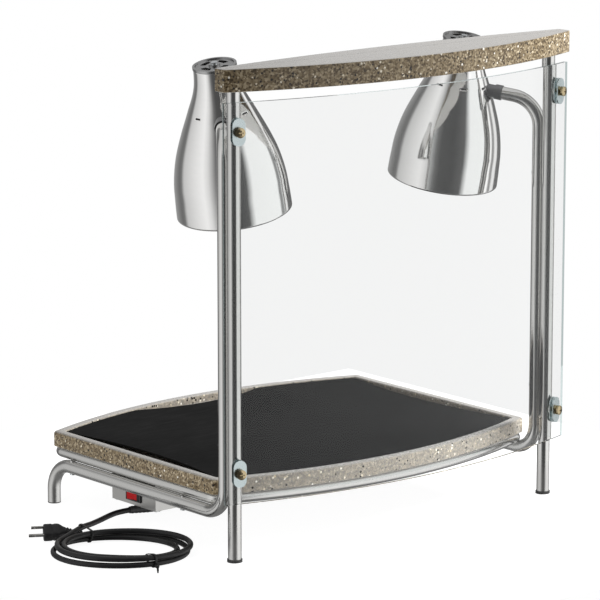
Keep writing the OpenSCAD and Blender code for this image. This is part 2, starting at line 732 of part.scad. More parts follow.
// Coil: an upper layer that winds in, half a turn down, and a lower layer that winds out
coil_c = [-395, -67.5];
coil_start = 140;
layer_turns = 1.15;
climb_turns = 0.5;
climb_dip = 5;
low_pitch = 15;
narrow_way = 230;
upper_shift = [8.4, -7];
tie_room = 1.5;
layer_gap = 0.8;
low_z = cord_d / 2 + tie_room;
high_z = low_z + cord_d + layer_gap;
coil_in_r = coil_r - coil_pitch * layer_turns;
coil_turns = 2 * layer_turns + climb_turns;
function ease(t) = t * t * (3 - 2 * t);
function coil_down(w) = ease(min(max((w - layer_turns) / climb_turns, 0), 1));
function coil_rad(w) = w < layer_turns ? coil_r - coil_pitch * w
    : w < layer_turns + climb_turns ? coil_in_r - climb_dip * sin(180 * (w - layer_turns) / climb_turns)
    : coil_in_r + low_pitch * (w - layer_turns - climb_turns);
function coil_at(w) = let (a = coil_start + 360 * w, d = coil_down(w),
    r = coil_rad(w) - coil_squash * pow(cos(a - narrow_way), 2))
    [coil_c.x + (1 - d) * upper_shift.x + r * cos(a), coil_c.y + (1 - d) * upper_shift.y + r * sin(a),
        high_z + d * (low_z - high_z)];
turn_steps = 24;
coil_steps = ceil(turn_steps * coil_turns);
coil_nudge = 0.002;
coil_first = coil_at(0);
coil_last = coil_at(coil_turns);
coil_first_dir = unit(coil_at(coil_nudge) - coil_first);
coil_last_dir = unit(coil_last - coil_at(coil_turns - coil_nudge));
tail_l = 18;
neck_tilt = 13;
tail_bend_r = 36;
tail_up = [0, 0, 1];
tail_flat_end = coil_last + tail_l * coil_last_dir;
tail_rise_end = tail_flat_end
    + tail_bend_r * (sin(neck_tilt) * coil_last_dir + (1 - cos(neck_tilt)) * tail_up);
tail_dir = cos(neck_tilt) * coil_last_dir + sin(neck_tilt) * tail_up;
tail_end = tail_rise_end + cord_d * tail_dir;
coil_path = concat([coil_first - cord_d * coil_first_dir],
    [for (i = [0:coil_steps]) coil_at(coil_turns * i / coil_steps)],
    [coil_last + tail_l / 2 * coil_last_dir, tail_flat_end, tail_rise_end, tail_end]);
gap_steps = 180;
gap_turns = 0.6;
function gap_at(i) = coil_at(coil_turns * i / gap_steps);
gap_skip = ceil(gap_turns * gap_steps / coil_turns);
coil_gap = min([for (i = [0:gap_steps - gap_skip], j = [i + gap_skip:gap_steps])
    norm(gap_at(i) - gap_at(j))]) - cord_d;
echo(least_gap_in_coil = coil_gap);
coil_sides = 6;
lead_sides = 8;
module cord_coil() { color([0.1, 0.1, 0.1]) sweep(coil_path, cord_d / 2, coil_sides); }

// Free lead from the gland to the coil, points chosen along its lie
gland_mouth = gland_reach + gland_l;
lead_from = [gland_at.x + gland_mouth * cos(gland_turn), gland_at.y + gland_mouth * sin(gland_turn), gland_z];
lead_points = [[-281, 68.7, 15], [-293, 69.5, 14.4], [-306, 67, 13.7], [-320, 61.5, 13.4], [-334, 54.8, 13.6],
    [-348, 47.8, 14.2], [-362, 40.6, 15.2], [-376, 33.4, 16.8], [-390, 26.2, 17.5], [-404, 19.3, 17.1],
    [-418, 12.9, 15.9], [-432, 6.9, 14.8], [-444.5, 1.2, 14.3]];
lead_path = concat([lead_from], lead_points, [coil_path[0]]);
module cord_lead() { color([0.1, 0.1, 0.1]) sweep(lead_path, cord_d / 2, lead_sides); }
function path_l(p) = [for (i = [0:len(p) - 2]) norm(p[i + 1] - p[i])] * [for (i = [0:len(p) - 2]) 1];
echo(lead_length = path_l(lead_path) + path_l(coil_path));

// Moulded plug with a ribbed neck, rolled on its side, and its three pins
plug_turn = atan2(coil_last_dir.y, coil_last_dir.x);
plug_roll = -48;
plug_neck_l = 20;
plug_body_l = 29;
plug_nose_l = 10;
plug_w = 24;
plug_tall = 22;
plug_neck_r = 7;
plug_at = tail_end + plug_neck_l * tail_dir;
plug_round_d = 2 * (plug_at.z - fit_gap);
neck_ribs = 3;
rib_w = 2.4;
rib_in = 3;
rib_r = 6;
rib_grow = 0.6;
neck_wall = 0.8;
nose_over = 0.5;
module on_plug() {
    translate(plug_at) rotate([0, 0, plug_turn]) children();
}
module plug_block(l) {
    rotate([plug_roll, 0, 0]) rotate([90, 0, 90]) linear_extrude(l) intersection() {
        square([plug_w, plug_tall], center = true);
        circle(d = plug_round_d, $fn = 32);
    }
}
module cord_plug() {
    color([0.1, 0.1, 0.1]) {
        translate(tail_end) rotate([0, 0, plug_turn]) rotate([0, 90 - neck_tilt, 0]) {
            cylinder(r1 = cord_d / 2 + neck_wall, r2 = plug_neck_r, h = plug_neck_l);
            for (i = [0:neck_ribs - 1])
                translate([0, 0, rib_in + i * 2 * rib_w]) cylinder(r = rib_r + i * rib_grow, h = rib_w);
        }
        on_plug() hull() {
            translate([-cut, 0, 0]) rotate([0, 90, 0])
                cylinder(r = plug_neck_r + nose_over, h = cut, $fn = 32);
            translate([plug_nose_l, 0, 0]) plug_block(plug_body_l - plug_nose_l);
        }
    }
}
blade = [17, 1.5, 6.3];
blade_apart = 12.7;
blade_up = 4;
blade_eye = [12.5, 3];
earth_d = 4.8;
earth_l = 20;
earth_down = 7.9;
module plug_pins() {
    color("silver") on_plug() translate([plug_body_l, 0, 0]) rotate([plug_roll, 0, 0]) {
        for (s = [-1, 1])
            translate([0, (s * blade_apart - blade.y) / 2, blade_up - blade.z / 2]) difference() {
            cube(blade);
            translate([blade_eye[0], -cut, blade.z / 2]) rotate([-90, 0, 0])
                cylinder(d = blade_eye[1], h = blade.y + 2 * cut);
        }
        translate([0, 0, -earth_down]) rotate([0, 90, 0]) cylinder(d = earth_d, h = earth_l);
    }
}

// Cable ties: flat bands square to the loops, each with a head and a cut tail
tie_w = 3.6;
tie_t = 1.2;
tie_slack = 0.4;
tie_head = [4, 6];
tie_head_over = 1;
tie_head_up = 1;
tie_tail_up = 2.4;
tie_tail_thin = 0.3;
tie_tail_lap = 1;
// Each tie: its angle round the coil, the radii and the height it closes on, its tail's length and turn
near_tie = [268, [68, 91.3], 17.1, 22, 35];
far_tie = [85, [66.6, 101.5], 20.1, 5, 0];
module tie(at) {
    r0 = at[1][0] - tie_slack;
    r1 = at[1][1] + tie_slack;
    top = at[2] + tie_slack;
    translate([coil_c.x, coil_c.y, fit_gap]) rotate([0, 0, at[0]])
        translate([0, tie_w / 2, 0]) rotate([90, 0, 0]) {
        linear_extrude(tie_w) difference() {
            translate([r0 - tie_t, 0]) square([r1 - r0 + 2 * tie_t, top + 2 * tie_t]);
            translate([r0, tie_t]) square([r1 - r0, top]);
        }
        translate([r1 + tie_t, tie_head_up, -tie_head_over])
            cube([tie_head[0], tie_head[1], tie_w + 2 * tie_head_over]);
        translate([r1 + tie_t + tie_head[0] - tie_tail_lap, tie_tail_up, tie_w / 2]) rotate([0, -at[4], 0])
            translate([0, 0, tie_tail_thin - tie_w / 2])
                cube([at[3] + tie_tail_lap, tie_t, tie_w - 2 * tie_tail_thin]);
    }
}
module coil_ties() {
    color([0.1, 0.1, 0.1]) {
        tie(near_tie);
        tie(far_tie);
    }
}

// Lamp frame: origin where the swivel axis meets the lamp's axis, x along the arm, z up the lamp
module arm_frame(side) {
    mirror([side > 0 ? 1 : 0, 0, 0])
        translate([-post_x + lamp_reach * arm_dir.x, riser_y + lamp_reach * arm_dir.y, lamp_z])
            rotate([0, 0, arm_angle]) rotate([0, -arm_rise, 0]) children();
}
module lamp_frame(side) {
    arm_frame(side) rotate([side > 0 ? right_turn : left_turn, 0, 0]) children();
}

// Shade profile: radius at shares of its length, joined by a smooth curve
shade_share = [0, 0.14, 0.29, 0.45, 0.6, 0.75, 0.88, 1];
shade_swell = [0, 0.071, 0.317, 0.595, 0.815, 0.943, 0.983, 1];
function swell(i) = shade_swell[max(0, min(i, len(shade_swell) - 1))];
function curve(i, t) = let (a = swell(i - 1), b = swell(i), c = swell(i + 1), d = swell(i + 2))
    b + t * (c - a) / 2 + t * t * (a - 2.5 * b + 2 * c - d / 2)
        + t * t * t * (1.5 * b - 1.5 * c + d / 2 - a / 2);
curve_steps = 4;
function shade_line(wall) = [for (i = [0:len(shade_share) - 2], k = [0:curve_steps - 1])
    [shade_neck_r - wall + curve(i, k / curve_steps) * (shade_mouth_r - shade_neck_r),
        shade_top - shade_l * (shade_share[i] + (shade_share[i + 1] - shade_share[i]) * k / curve_steps)]];
function shade_edge(wall) = concat(shade_line(wall), [[shade_mouth_r - wall, shade_top - shade_l]]);
function reversed(p) = [for (i = [len(p) - 1:-1:0]) p[i]];
slot_size = [8, 2.2];
slot_z = 6;
// The slots start in line with the arm in the left shade, half a step on in the right, and keep off the arm
slot_step = 360 / slot_count;
arm_clear = 18;
function slot_turns(side) = [for (i = [0:slot_count - 1]) let (a = (i + (side > 0 ? 0.5 : 0)) * slot_step)
    if (abs(a - 180) > arm_clear) a];
side_gap = 1.5;
side_hole_r = pin_r + side_gap;
module shade_solid() {
    rotate_extrude() polygon(concat([[0, shade_top]], shade_edge(0), [[0, shade_top - shade_l]]));
}
module shade(side) {
    difference() {
        rotate_extrude() polygon(concat(shade_edge(0), reversed(shade_edge(shade_wall))));
        rotate([0, -90, 0]) cylinder(r = side_hole_r, h = shade_mouth_r);
        for (a = slot_turns(side)) rotate([0, 0, a])
            translate([0, -slot_size.x / 2, slot_z - slot_size.y / 2])
                cube([shade_mouth_r, slot_size.x, slot_size.y]);
    }
}

// Coupling fixed on the arm's end, with the hollow pin the lamp turns on
collar_end = coupling_end - free_gap;
pin_tip = 20.5;
pin_wall = 2;
coupling_l = 10.5;
module coupling(side) {
    arm_frame(side) rotate([0, -90, 0]) difference() {
        union() {
            translate([0, 0, coupling_end]) cylinder(r = coupling_r, h = coupling_l);
            translate([0, 0, pin_tip]) cylinder(r = pin_r, h = coupling_end - pin_tip + cut);
        }
        translate([0, 0, coupling_in]) cylinder(r = tube_r + run_gap, h = coupling_l);
        translate([0, 0, pin_tip - cut]) cylinder(r = pin_r - pin_wall, h = coupling_end);
    }
}
nut_t = 4.7;
nut_d = 17;
module pin_nut(side) {
    arm_frame(side) rotate([0, -90, 0]) translate([0, 0, pin_tip + free_gap]) difference() {
        cylinder(d = nut_d, h = nut_t, $fn = 6);
        translate([0, 0, -cut]) cylinder(r = pin_r + run_gap, h = nut_t + 2 * cut, $fn = 96);
    }
}
collar_r = 9.5;
collar_in = 30;
module collar(side) {
    lamp_frame(side) difference() {
        rotate([0, -90, 0]) translate([0, 0, collar_in]) cylinder(r = collar_r, h = collar_end - collar_in);
        shade_solid();
        rotate([0, -90, 0]) cylinder(r = pin_r + run_gap, h = 2 * collar_end);
    }
}

// Bracket: a hub on the pin, a cranked strap and a bridge that holds the socket and the cap screw
hub_x = 26;
hub_r = 9;
strap_t = 4;
strap_w = 14;
strap_in = 21;
strap_step = 15;
bridge_z = 46;
bridge_t = 8;
bridge_over = 9;
cap_screw_d = 5;
module bracket(side) {
    lamp_frame(side) difference() {
        union() {
            intersection() {
                rotate([0, -90, 0]) translate([0, 0, hub_x]) cylinder(r = hub_r, h = shade_mouth_r - hub_x);
                shade_core();
            }
            translate([-hub_x - strap_t, -strap_w / 2, -hub_r]) cube([strap_t, strap_w, hub_r + strap_step]);
            translate([-hub_x - strap_t, -strap_w / 2, strap_step - strap_t])
                cube([hub_x - strap_in + strap_t, strap_w, strap_t]);
            translate([-strap_in - strap_t, -strap_w / 2, strap_step - strap_t])
                cube([strap_t, strap_w, bridge_z + bridge_t - strap_step + strap_t]);
            translate([-strap_in - strap_t, -strap_w / 2, bridge_z])
                cube([strap_in + strap_t + bridge_over, strap_w, bridge_t]);
        }
        rotate([0, -90, 0]) cylinder(r = pin_r + run_gap, h = shade_mouth_r);
        translate([0, 0, bridge_z - cut]) cylinder(d = cap_screw_d + 2 * fit_gap, h = bridge_t + 2 * cut);
    }
}
// The space inside the shade, less a hair so that the hub just meets the wall
module shade_core() {
    rotate_extrude()
        polygon(concat([[0, shade_top]], shade_edge(shade_wall + fit_gap), [[0, shade_top - shade_l]]));
}
socket_r = 18;
socket_z = 6;
base_r = 13;
base_top = 38;
base_low = 8;
module socket(side) {
    lamp_frame(side) difference() {
        translate([0, 0, socket_z]) cylinder(r = socket_r, h = bridge_z - socket_z);
        translate([0, 0, socket_z - cut])
            cylinder(r = base_r + fit_gap, h = base_top + fit_gap - socket_z + cut);
    }
}
base_tip_h = 4;
base_wall = 1;
module bulb_base(side) {
    lamp_frame(side) {
        translate([0, 0, base_low])
            tube(2 * base_r, 2 * (base_r - base_wall), base_top - base_low - base_tip_h);
        translate([0, 0, base_top - base_tip_h]) cylinder(r1 = base_r, r2 = base_r / 2, h = base_tip_h);
    }
}

// Reflector bulb: a thin glass skin, open only into its base
bulb_face = -128;
bulb_wall = 1.2;
bulb_crown = 18;
bulb_waist = -18;
bulb_waist_r = 21;
bulb_neck = [[15, 2], [17, -6]];
bulb_steps = 6;
bulb_turn = 90 / bulb_steps;
function bulb_line(in) = concat([[base_r - base_wall - in, base_low]], [for (p = bulb_neck) p - [in, 0]],
    [for (i = [0:bulb_steps]) [bulb_waist_r - in + (bulb_r - bulb_waist_r) * sin(bulb_turn * i),
        bulb_waist + (bulb_face + bulb_crown - bulb_waist) * (1 - cos(bulb_turn * i))]],
    [for (i = [1:bulb_steps]) [(bulb_r - in) * cos(bulb_turn * i),
        bulb_face + bulb_crown - (bulb_crown - in) * sin(bulb_turn * i)]]);
module bulb(side) {
    lamp_frame(side) rotate_extrude() polygon(concat(bulb_line(0), reversed(bulb_line(bulb_wall))));
}

// Vent cap with a raised rim, curved slots and a boss, held by one screw
cap_over = 1;
cap_r = shade_neck_r + cap_over;
cap_t = 2;
cap_rim = [3.5, 1.6];
cap_skirt = 5;
cap_skirt_wall = 1.9;
cap_boss = [16, 2.4];
vent_r = [13, 21];
vent_count = 4;
vent_turn = 50;
module vent_cap(side) {
    skirt_r = shade_neck_r - shade_wall - fit_gap;
    lamp_frame(side) translate([0, 0, shade_top]) difference() {
        union() {
            cylinder(r = cap_r, h = cap_t);
            tube(2 * cap_r, 2 * (cap_r - cap_rim[0]), cap_t + cap_rim[1]);
            translate([0, 0, -cap_skirt]) tube(2 * skirt_r, 2 * (skirt_r - cap_skirt_wall), cap_skirt + cut);
            cylinder(d = cap_boss[0], h = cap_t + cap_boss[1]);
        }
        translate([0, 0, -cut]) for (i = [0:vent_count - 1])
            rotate([0, 0, (i + 0.5) * 360 / vent_count - vent_turn / 2]) rotate_extrude(angle = vent_turn)
                translate([vent_r[0], 0]) square([vent_r[1] - vent_r[0], cap_t + 2 * cut]);
        translate([0, 0, -cut]) cylinder(d = cap_screw_d + 2 * fit_gap, h = cap_t + cap_boss[1] + 2 * cut);
    }
}
cap_head = [9, 2.6];
module cap_screw(side) {
    head_z = shade_top + cap_t + cap_boss[1];
    lamp_frame(side) {
        translate([0, 0, bridge_z + cut]) cylinder(d = cap_screw_d, h = head_z - bridge_z);
        translate([0, 0, head_z]) cylinder(d = cap_head[0], h = cap_head[1]);
    }
}

module left_coupling() { color("silver") coupling(-1); }
module right_coupling() { color("silver") coupling(1); }
module left_pin_nut() { color("gray") pin_nut(-1); }
module right_pin_nut() { color("gray") pin_nut(1); }
module left_collar() { color("silver") collar(-1); }
module right_collar() { color("silver") collar(1); }
module left_bracket() { color("gray") bracket(-1); }
module right_bracket() { color("gray") bracket(1); }
module left_socket() { color("white") socket(-1); }
module right_socket() { color("white") socket(1); }
module left_bulb() { color("snow") bulb(-1); }
module right_bulb() { color("snow") bulb(1); }
module left_bulb_base() { color("gold") bulb_base(-1); }
module right_bulb_base() { color("gold") bulb_base(1); }
module left_shade() { color("gainsboro") lamp_frame(-1) shade(-1); }
module right_shade() { color("gainsboro") lamp_frame(1) shade(1); }
module left_vent_cap() { color("gray") vent_cap(-1); }
module right_vent_cap() { color("gray") vent_cap(1); }
module left_cap_screw() { color("silver") cap_screw(-1); }
module right_cap_screw() { color("silver") cap_screw(1); }

left_post();
right_post();
front_glides();
left_lamp_tube();
right_lamp_tube();
rear_plugs();
riser_screws();
shelf();
post_plugs();
shelf_studs();
guard();
front_washers();
rear_washers();
guard_spacers();
guard_screws();
base_slab();
carving_plate();
heating_mat();
insulation_board();
bottom_pan();
edge_tube();
rail_spacers();
rail_screws();
control_box();
box_cover();
box_screws();
switch_frame();
switch_rocker();
terminal_block();
thermostat();
wire_grommet();
heater_lead();
cord_gland();
cord_lead();
cord_coil();
cord_plug();
plug_pins();
coil_ties();
left_coupling();
left_pin_nut();
left_collar();
left_bracket();
left_socket();
left_bulb();
left_bulb_base();
left_shade();
left_vent_cap();
left_cap_screw();
right_coupling();
right_pin_nut();
right_collar();
right_bracket();
right_socket();
right_bulb();
right_bulb_base();
right_shade();
right_vent_cap();
right_cap_screw();
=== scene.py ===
import json
import math

import bmesh
import bpy
from mathutils import Matrix, Vector

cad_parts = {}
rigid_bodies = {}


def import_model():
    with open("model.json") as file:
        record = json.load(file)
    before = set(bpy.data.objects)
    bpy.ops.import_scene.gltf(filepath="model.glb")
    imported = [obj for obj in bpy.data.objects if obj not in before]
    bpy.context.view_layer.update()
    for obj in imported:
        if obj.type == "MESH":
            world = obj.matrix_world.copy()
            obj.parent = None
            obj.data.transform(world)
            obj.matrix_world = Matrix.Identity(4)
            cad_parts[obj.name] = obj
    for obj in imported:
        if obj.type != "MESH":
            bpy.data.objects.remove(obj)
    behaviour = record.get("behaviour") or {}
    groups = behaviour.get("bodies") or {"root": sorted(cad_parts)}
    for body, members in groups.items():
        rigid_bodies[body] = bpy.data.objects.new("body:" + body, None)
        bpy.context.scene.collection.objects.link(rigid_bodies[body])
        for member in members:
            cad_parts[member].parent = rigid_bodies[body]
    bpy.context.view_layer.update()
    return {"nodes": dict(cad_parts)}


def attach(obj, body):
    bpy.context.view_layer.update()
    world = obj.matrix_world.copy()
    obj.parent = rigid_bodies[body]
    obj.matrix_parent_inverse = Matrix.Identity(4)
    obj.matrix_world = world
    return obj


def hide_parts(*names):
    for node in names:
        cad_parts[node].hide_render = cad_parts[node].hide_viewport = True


for startup in list(bpy.data.objects):
    bpy.data.objects.remove(startup)
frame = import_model()

# The view: a long lens standing well back to the front left, a little above the shelf.
# It looks across the station at about forty degrees and down at twelve.
view_turn = math.radians(39.943)
view_dip = math.radians(11.592)
view_from = (-3.3598, -4.0024, 1.3704)
lens_mm, film_mm, far_end = 219.9, 36, 300
lens = bpy.data.cameras.new("View")
lens.lens, lens.sensor_width, lens.clip_end = lens_mm, film_mm, far_end
view = bpy.data.objects.new("View", lens)
view.location = view_from
view.rotation_euler = (math.pi / 2 - view_dip, 0, -view_turn)
bpy.context.scene.collection.objects.link(view)
bpy.context.scene.camera = view
bpy.context.scene.view_settings.view_transform = "Standard"

# Studio: white sweep paper underfoot and a ring of soft panels and dark flags round the station.
# The panels are the world's own light, so every polished tube shows them as upright bands.
# Each has its bearing from the view in degrees, and its brightness.
panels = [(-180, 0.6), (-172, 0.4), (-128, 0.17), (-119, 0.2), (-109, 0.64), (-56, 1.0), (-44, 0.8),
          (-26, 0.18), (-16, 0.09), (10, 0.075), (34, 0.13), (47, 1.2), (108, 1.25), (112, 0.35),
          (119, 0.35), (122, 1.0), (133, 1.0), (138, 0.15), (171, 0.15), (175, 0.7)]
overhead_tone, underfoot_tone, diffuse_share = 0.8, 0.22, 0.55
key_side, key_far, key_high, key_aim = math.radians(115), 1.9, 1.15, 0.45
paper_half, paper_glow = 0.62, 0.915
toward_view = Vector((-math.sin(view_turn), -math.cos(view_turn), 0))
across_view = Vector((math.cos(view_turn), -math.sin(view_turn), 0))


def add(tree, kind, props=None, **sockets):
    """Add one node, with its settings, and set or wire its inputs by name or by _number."""
    made = tree.nodes.new("ShaderNode" + kind)
    for key, value in (props or {}).items():
        setattr(made, key, value)
    for key, value in sockets.items():
        socket = made.inputs[int(key[1:]) if key[1:].isdigit() else key.replace("_", " ")]
        if isinstance(value, bpy.types.NodeSocket):
            tree.links.new(value, socket)
        else:
            socket.default_value = value
    return made


def calc(tree, operation, *values, clamp=False):
    """Work out one number from others."""
    numbered = {f"_{i}": value for i, value in enumerate(values)}
    return add(tree, "Math", {"operation": operation, "use_clamp": clamp}, **numbered).outputs[0]


def vector_calc(tree, operation, *values):
    """Work out one vector from others."""
    numbered = {f"_{i}": value for i, value in enumerate(values)}
    return add(tree, "VectorMath", {"operation": operation}, **numbered).outputs[0]


def span(tree, value, low, high, at_low, at_high, style="LINEAR"):
    """Carry a value from one range to another, held at its ends."""
    return add(tree, "MapRange", {"interpolation_type": style},
               _0=value, _1=low, _2=high, _3=at_low, _4=at_high).outputs[0]


def blend(tree, share, first, second):
    """Mix two colours by a share."""
    return add(tree, "Mix", {"data_type": "RGBA"}, _0=share, _6=first, _7=second).outputs[2]


def ramp(tree, factor, *stops):
    """A colour ramp with its stops given as place and colour."""
    made = add(tree, "ValToRGB", Fac=factor)
    steps = made.color_ramp.elements
    while len(steps) < len(stops):
        steps.new(1.0)
    for step, (place, colour) in zip(steps, stops):
        step.position = place
    for step, (place, colour) in zip(steps, stops):
        step.color = (*colour, 1)
    return made.outputs["Color"]


def grey(value):
    """A plain grey."""
    return (value, value, value)


def studio_lamp(name, size, power, spot, turn):
    """A soft round light that shows in no reflection."""
    glow = bpy.data.lights.new(name, "AREA")
    glow.shape, glow.size, glow.energy = "DISK", size, power
    lamp = bpy.data.objects.new(name, glow)
    lamp.location = spot
    lamp.rotation_euler = turn
    lamp.visible_camera = lamp.visible_glossy = lamp.visible_transmission = False
    bpy.context.scene.collection.objects.link(lamp)


studio = bpy.data.worlds.new("Studio")
bpy.context.scene.world = studio
studio.use_nodes = True
sky = studio.node_tree
sky.nodes.clear()
aim = add(sky, "TexCoord").outputs["Generated"]
toward = add(sky, "VectorMath", {"operation": "DOT_PRODUCT"}, _0=aim, _1=toward_view)
across = add(sky, "VectorMath", {"operation": "DOT_PRODUCT"}, _0=aim, _1=across_view)
bearing = calc(sky, "ARCTAN2", across.outputs["Value"], toward.outputs["Value"])
round_share = span(sky, bearing, -math.pi, math.pi, 0.0, 1.0)
ring = ramp(sky, round_share, *[(turn / 360 + 0.5, grey(level)) for turn, level in panels])
height = add(sky, "SeparateXYZ", Vector=aim).outputs["Z"]
overhead = span(sky, height, 0.45, 0.8, 0.0, 1.0, "SMOOTHSTEP")
light = blend(sky, overhead, ring, (*grey(overhead_tone), 1))
underfoot = span(sky, height, -0.5, -0.85, 0.0, 1.0, "SMOOTHSTEP")
light = blend(sky, underfoot, light, (*grey(underfoot_tone), 1))
rays = add(sky, "LightPath").outputs
seen = calc(sky, "MAXIMUM", rays["Is Camera Ray"], rays["Is Transmission Ray"])
shown = blend(sky, seen, light, (1, 1, 1, 1))
fill = span(sky, rays["Is Diffuse Ray"], 0.0, 1.0, 1.0, diffuse_share)
glow = add(sky, "Background", Color=shown, Strength=fill)
add(sky, "OutputWorld", Surface=glow.outputs[0])

key_way = math.cos(key_side) * toward_view + math.sin(key_side) * across_view
key_spot = key_far * key_way + Vector((0, 0, key_high))
key_turn = (Vector((0, 0, key_aim)) - key_spot).to_track_quat("-Z", "Y").to_euler()
studio_lamp("Key", 0.9, 105, key_spot, key_turn)
studio_lamp("Low_Front", 0.4, 2.4, (0.06, -0.72, 0.09), (math.pi / 2, 0, 0))
studio_lamp("Low_Left", 0.4, 3.2, (-1.0, -0.05, 0.10), (math.pi / 2, 0, -math.pi / 2))

paper = bpy.data.meshes.new("Paper")
paper.from_pydata([(-paper_half, -paper_half, 0), (paper_half, -paper_half, 0),
                   (paper_half, paper_half, 0), (-paper_half, paper_half, 0)], [], [(0, 1, 2, 3)])
floor = bpy.data.objects.new("Paper", paper)
bpy.context.scene.collection.objects.link(floor)
white_paper = bpy.data.materials.new("White_Paper")
white_paper.use_nodes = True
sheet = white_paper.node_tree
sheet.nodes.clear()
rays = add(sheet, "LightPath").outputs
seen = calc(sheet, "MAXIMUM", rays["Is Camera Ray"], rays["Is Glossy Ray"])
seen = calc(sheet, "MAXIMUM", seen, rays["Is Transmission Ray"])
lit = add(sheet, "BsdfDiffuse", Color=(*grey(0.8), 1))
shaded = add(sheet, "BsdfDiffuse", Color=(*grey(0.3), 1))
white = add(sheet, "Emission", Color=(1, 1, 1, 1), Strength=paper_glow)
bright = add(sheet, "AddShader", _0=shaded.outputs[0], _1=white.outputs[0])
surface = add(sheet, "MixShader", _0=seen, _1=lit.outputs[0], _2=bright.outputs[0])
add(sheet, "OutputMaterial", Surface=surface.outputs[0])
paper.materials.append(white_paper)
floor.visible_glossy = False

# Mains lead: a black round flex from the elbow gland to the floor, wound nearly three times.
# It is one moulded jacket over three cores, and ends in the plug's ribbed neck.
lead_d, lead_l = 0.008, 1.684
coil_mid = (-0.395, -0.0675)
coil_r, coil_pitch, low_pitch, coil_dip = 0.0948, 0.0092, 0.015, 0.005
coil_start, coil_squash, narrow_way = 140, 0.016, math.radians(230)
coil_shift = (0.0084, -0.007)
layer, climb = 1.15, 0.5
low_z, high_z = 0.0055, 0.0143
coil_steps, turn_step = 68, 0.002
neck_tilt, tail_run, tail_bend = math.radians(13), 0.018, 0.036


def coil_point(turns):
    """A point on the coil: the upper layer winds in, half a turn drops, the lower winds out."""
    share = min(max((turns - layer) / climb, 0), 1)
    drop = share * share * (3 - 2 * share)
    inner = coil_r - coil_pitch * layer
    radius = inner - coil_dip * math.sin(math.pi * share)
    if turns < layer:
        radius = coil_r - coil_pitch * turns
    elif turns > layer + climb:
        radius = inner + low_pitch * (turns - layer - climb)
    angle = math.radians(coil_start + 360 * turns)
    radius -= coil_squash * math.cos(angle - narrow_way) ** 2
    return Vector((coil_mid[0] + (1 - drop) * coil_shift[0] + radius * math.cos(angle),
                   coil_mid[1] + (1 - drop) * coil_shift[1] + radius * math.sin(angle),
                   high_z + drop * (low_z - high_z)))


coil_turns = 2 * layer + climb
coil_first = coil_point(0)
coil_last = coil_point(coil_turns)
into_coil = (coil_point(turn_step) - coil_first).normalized()
off_coil = (coil_last - coil_point(coil_turns - turn_step)).normalized()
up = Vector((0, 0, 1))
tail_flat = coil_last + tail_run * off_coil
tail_rise = tail_flat + tail_bend * (math.sin(neck_tilt) * off_coil + (1 - math.cos(neck_tilt)) * up)
tail_dir = math.cos(neck_tilt) * off_coil + math.sin(neck_tilt) * up
tail_end = tail_rise + lead_d * tail_dir
lead_route = [Vector(p) for p in (
    (-0.272, 0.06696, 0.0155), (-0.281, 0.0687, 0.015), (-0.293, 0.0695, 0.0144),
    (-0.306, 0.067, 0.0137), (-0.320, 0.0615, 0.0134), (-0.334, 0.0548, 0.0136),
    (-0.348, 0.0478, 0.0142), (-0.362, 0.0406, 0.0152), (-0.376, 0.0334, 0.0168),
    (-0.390, 0.0262, 0.0175), (-0.404, 0.0193, 0.0171), (-0.418, 0.0129, 0.0159),
    (-0.432, 0.0069, 0.0148), (-0.4445, 0.0012, 0.0143))]
lead_route.append(coil_first - lead_d * into_coil)
lead_in = len(lead_route)
lead_route += [coil_point(coil_turns * i / coil_steps) for i in range(coil_steps + 1)]
lead_route += [coil_last + tail_run / 2 * off_coil, tail_flat, tail_rise, tail_end]


def line_curve(name, route, radius):
    """A round curve drawn smoothly through its points."""
    shape = bpy.data.curves.new(name, "CURVE")
    shape.dimensions = "3D"
    shape.resolution_u = 4
    shape.bevel_depth = radius
    shape.bevel_resolution = 6
    shape.use_fill_caps = True
    run = shape.splines.new("BEZIER")
    run.bezier_points.add(len(route) - 1)
    for knot, place in zip(run.bezier_points, route):
        knot.co = place
        knot.handle_left_type = knot.handle_right_type = "AUTO"
    made = bpy.data.objects.new(name, shape)
    bpy.context.scene.collection.objects.link(made)
    return made


def node_group(name, inputs, outputs):
    """An empty shader group with its named sockets; returns the tree and its two ends."""
    tree = bpy.data.node_groups.new(name, "ShaderNodeTree")
    for socket, kind, value in inputs:
        made = tree.interface.new_socket(socket, in_out="INPUT", socket_type="NodeSocket" + kind)
        made.default_value = value
    for socket, kind in outputs:
        tree.interface.new_socket(socket, in_out="OUTPUT", socket_type="NodeSocket" + kind)
    return tree, tree.nodes.new("NodeGroupInput").outputs, tree.nodes.new("NodeGroupOutput").inputs


# Moulded skin: the fine pebble of a moulding, with handled patches and a little bloom in the colour
moulded, given, put = node_group(
    "Moulded_Skin",
    [("Colour", "Color", (0.02, 0.02, 0.02, 1)), ("Roughness", "Float", 0.45),
     ("Grain", "Float", 900.0), ("Bloom", "Float", 0.15)],
    [("Colour", "Color"), ("Roughness", "Float"), ("Height", "Float")])
place = add(moulded, "TexCoord").outputs["Object"]
pebble = add(moulded, "TexNoise", Vector=place, Scale=given["Grain"], Detail=3.0, Roughness=0.6)
patch = add(moulded, "TexNoise", Vector=place, Scale=38.0, Detail=4.0, Roughness=0.6)
moulded.links.new(pebble.outputs["Fac"], put["Height"])
handled = span(moulded, patch.outputs["Fac"], 0.3, 0.7, -0.08, 0.1)
rough = calc(moulded, "ADD", handled, given["Roughness"], clamp=True)
moulded.links.new(rough, put["Roughness"])
dusty = calc(moulded, "MULTIPLY", patch.outputs["Fac"], given["Bloom"])
bloomed = blend(moulded, dusty, given["Colour"], (0.35, 0.34, 0.33, 1))
moulded.links.new(bloomed, put["Colour"])


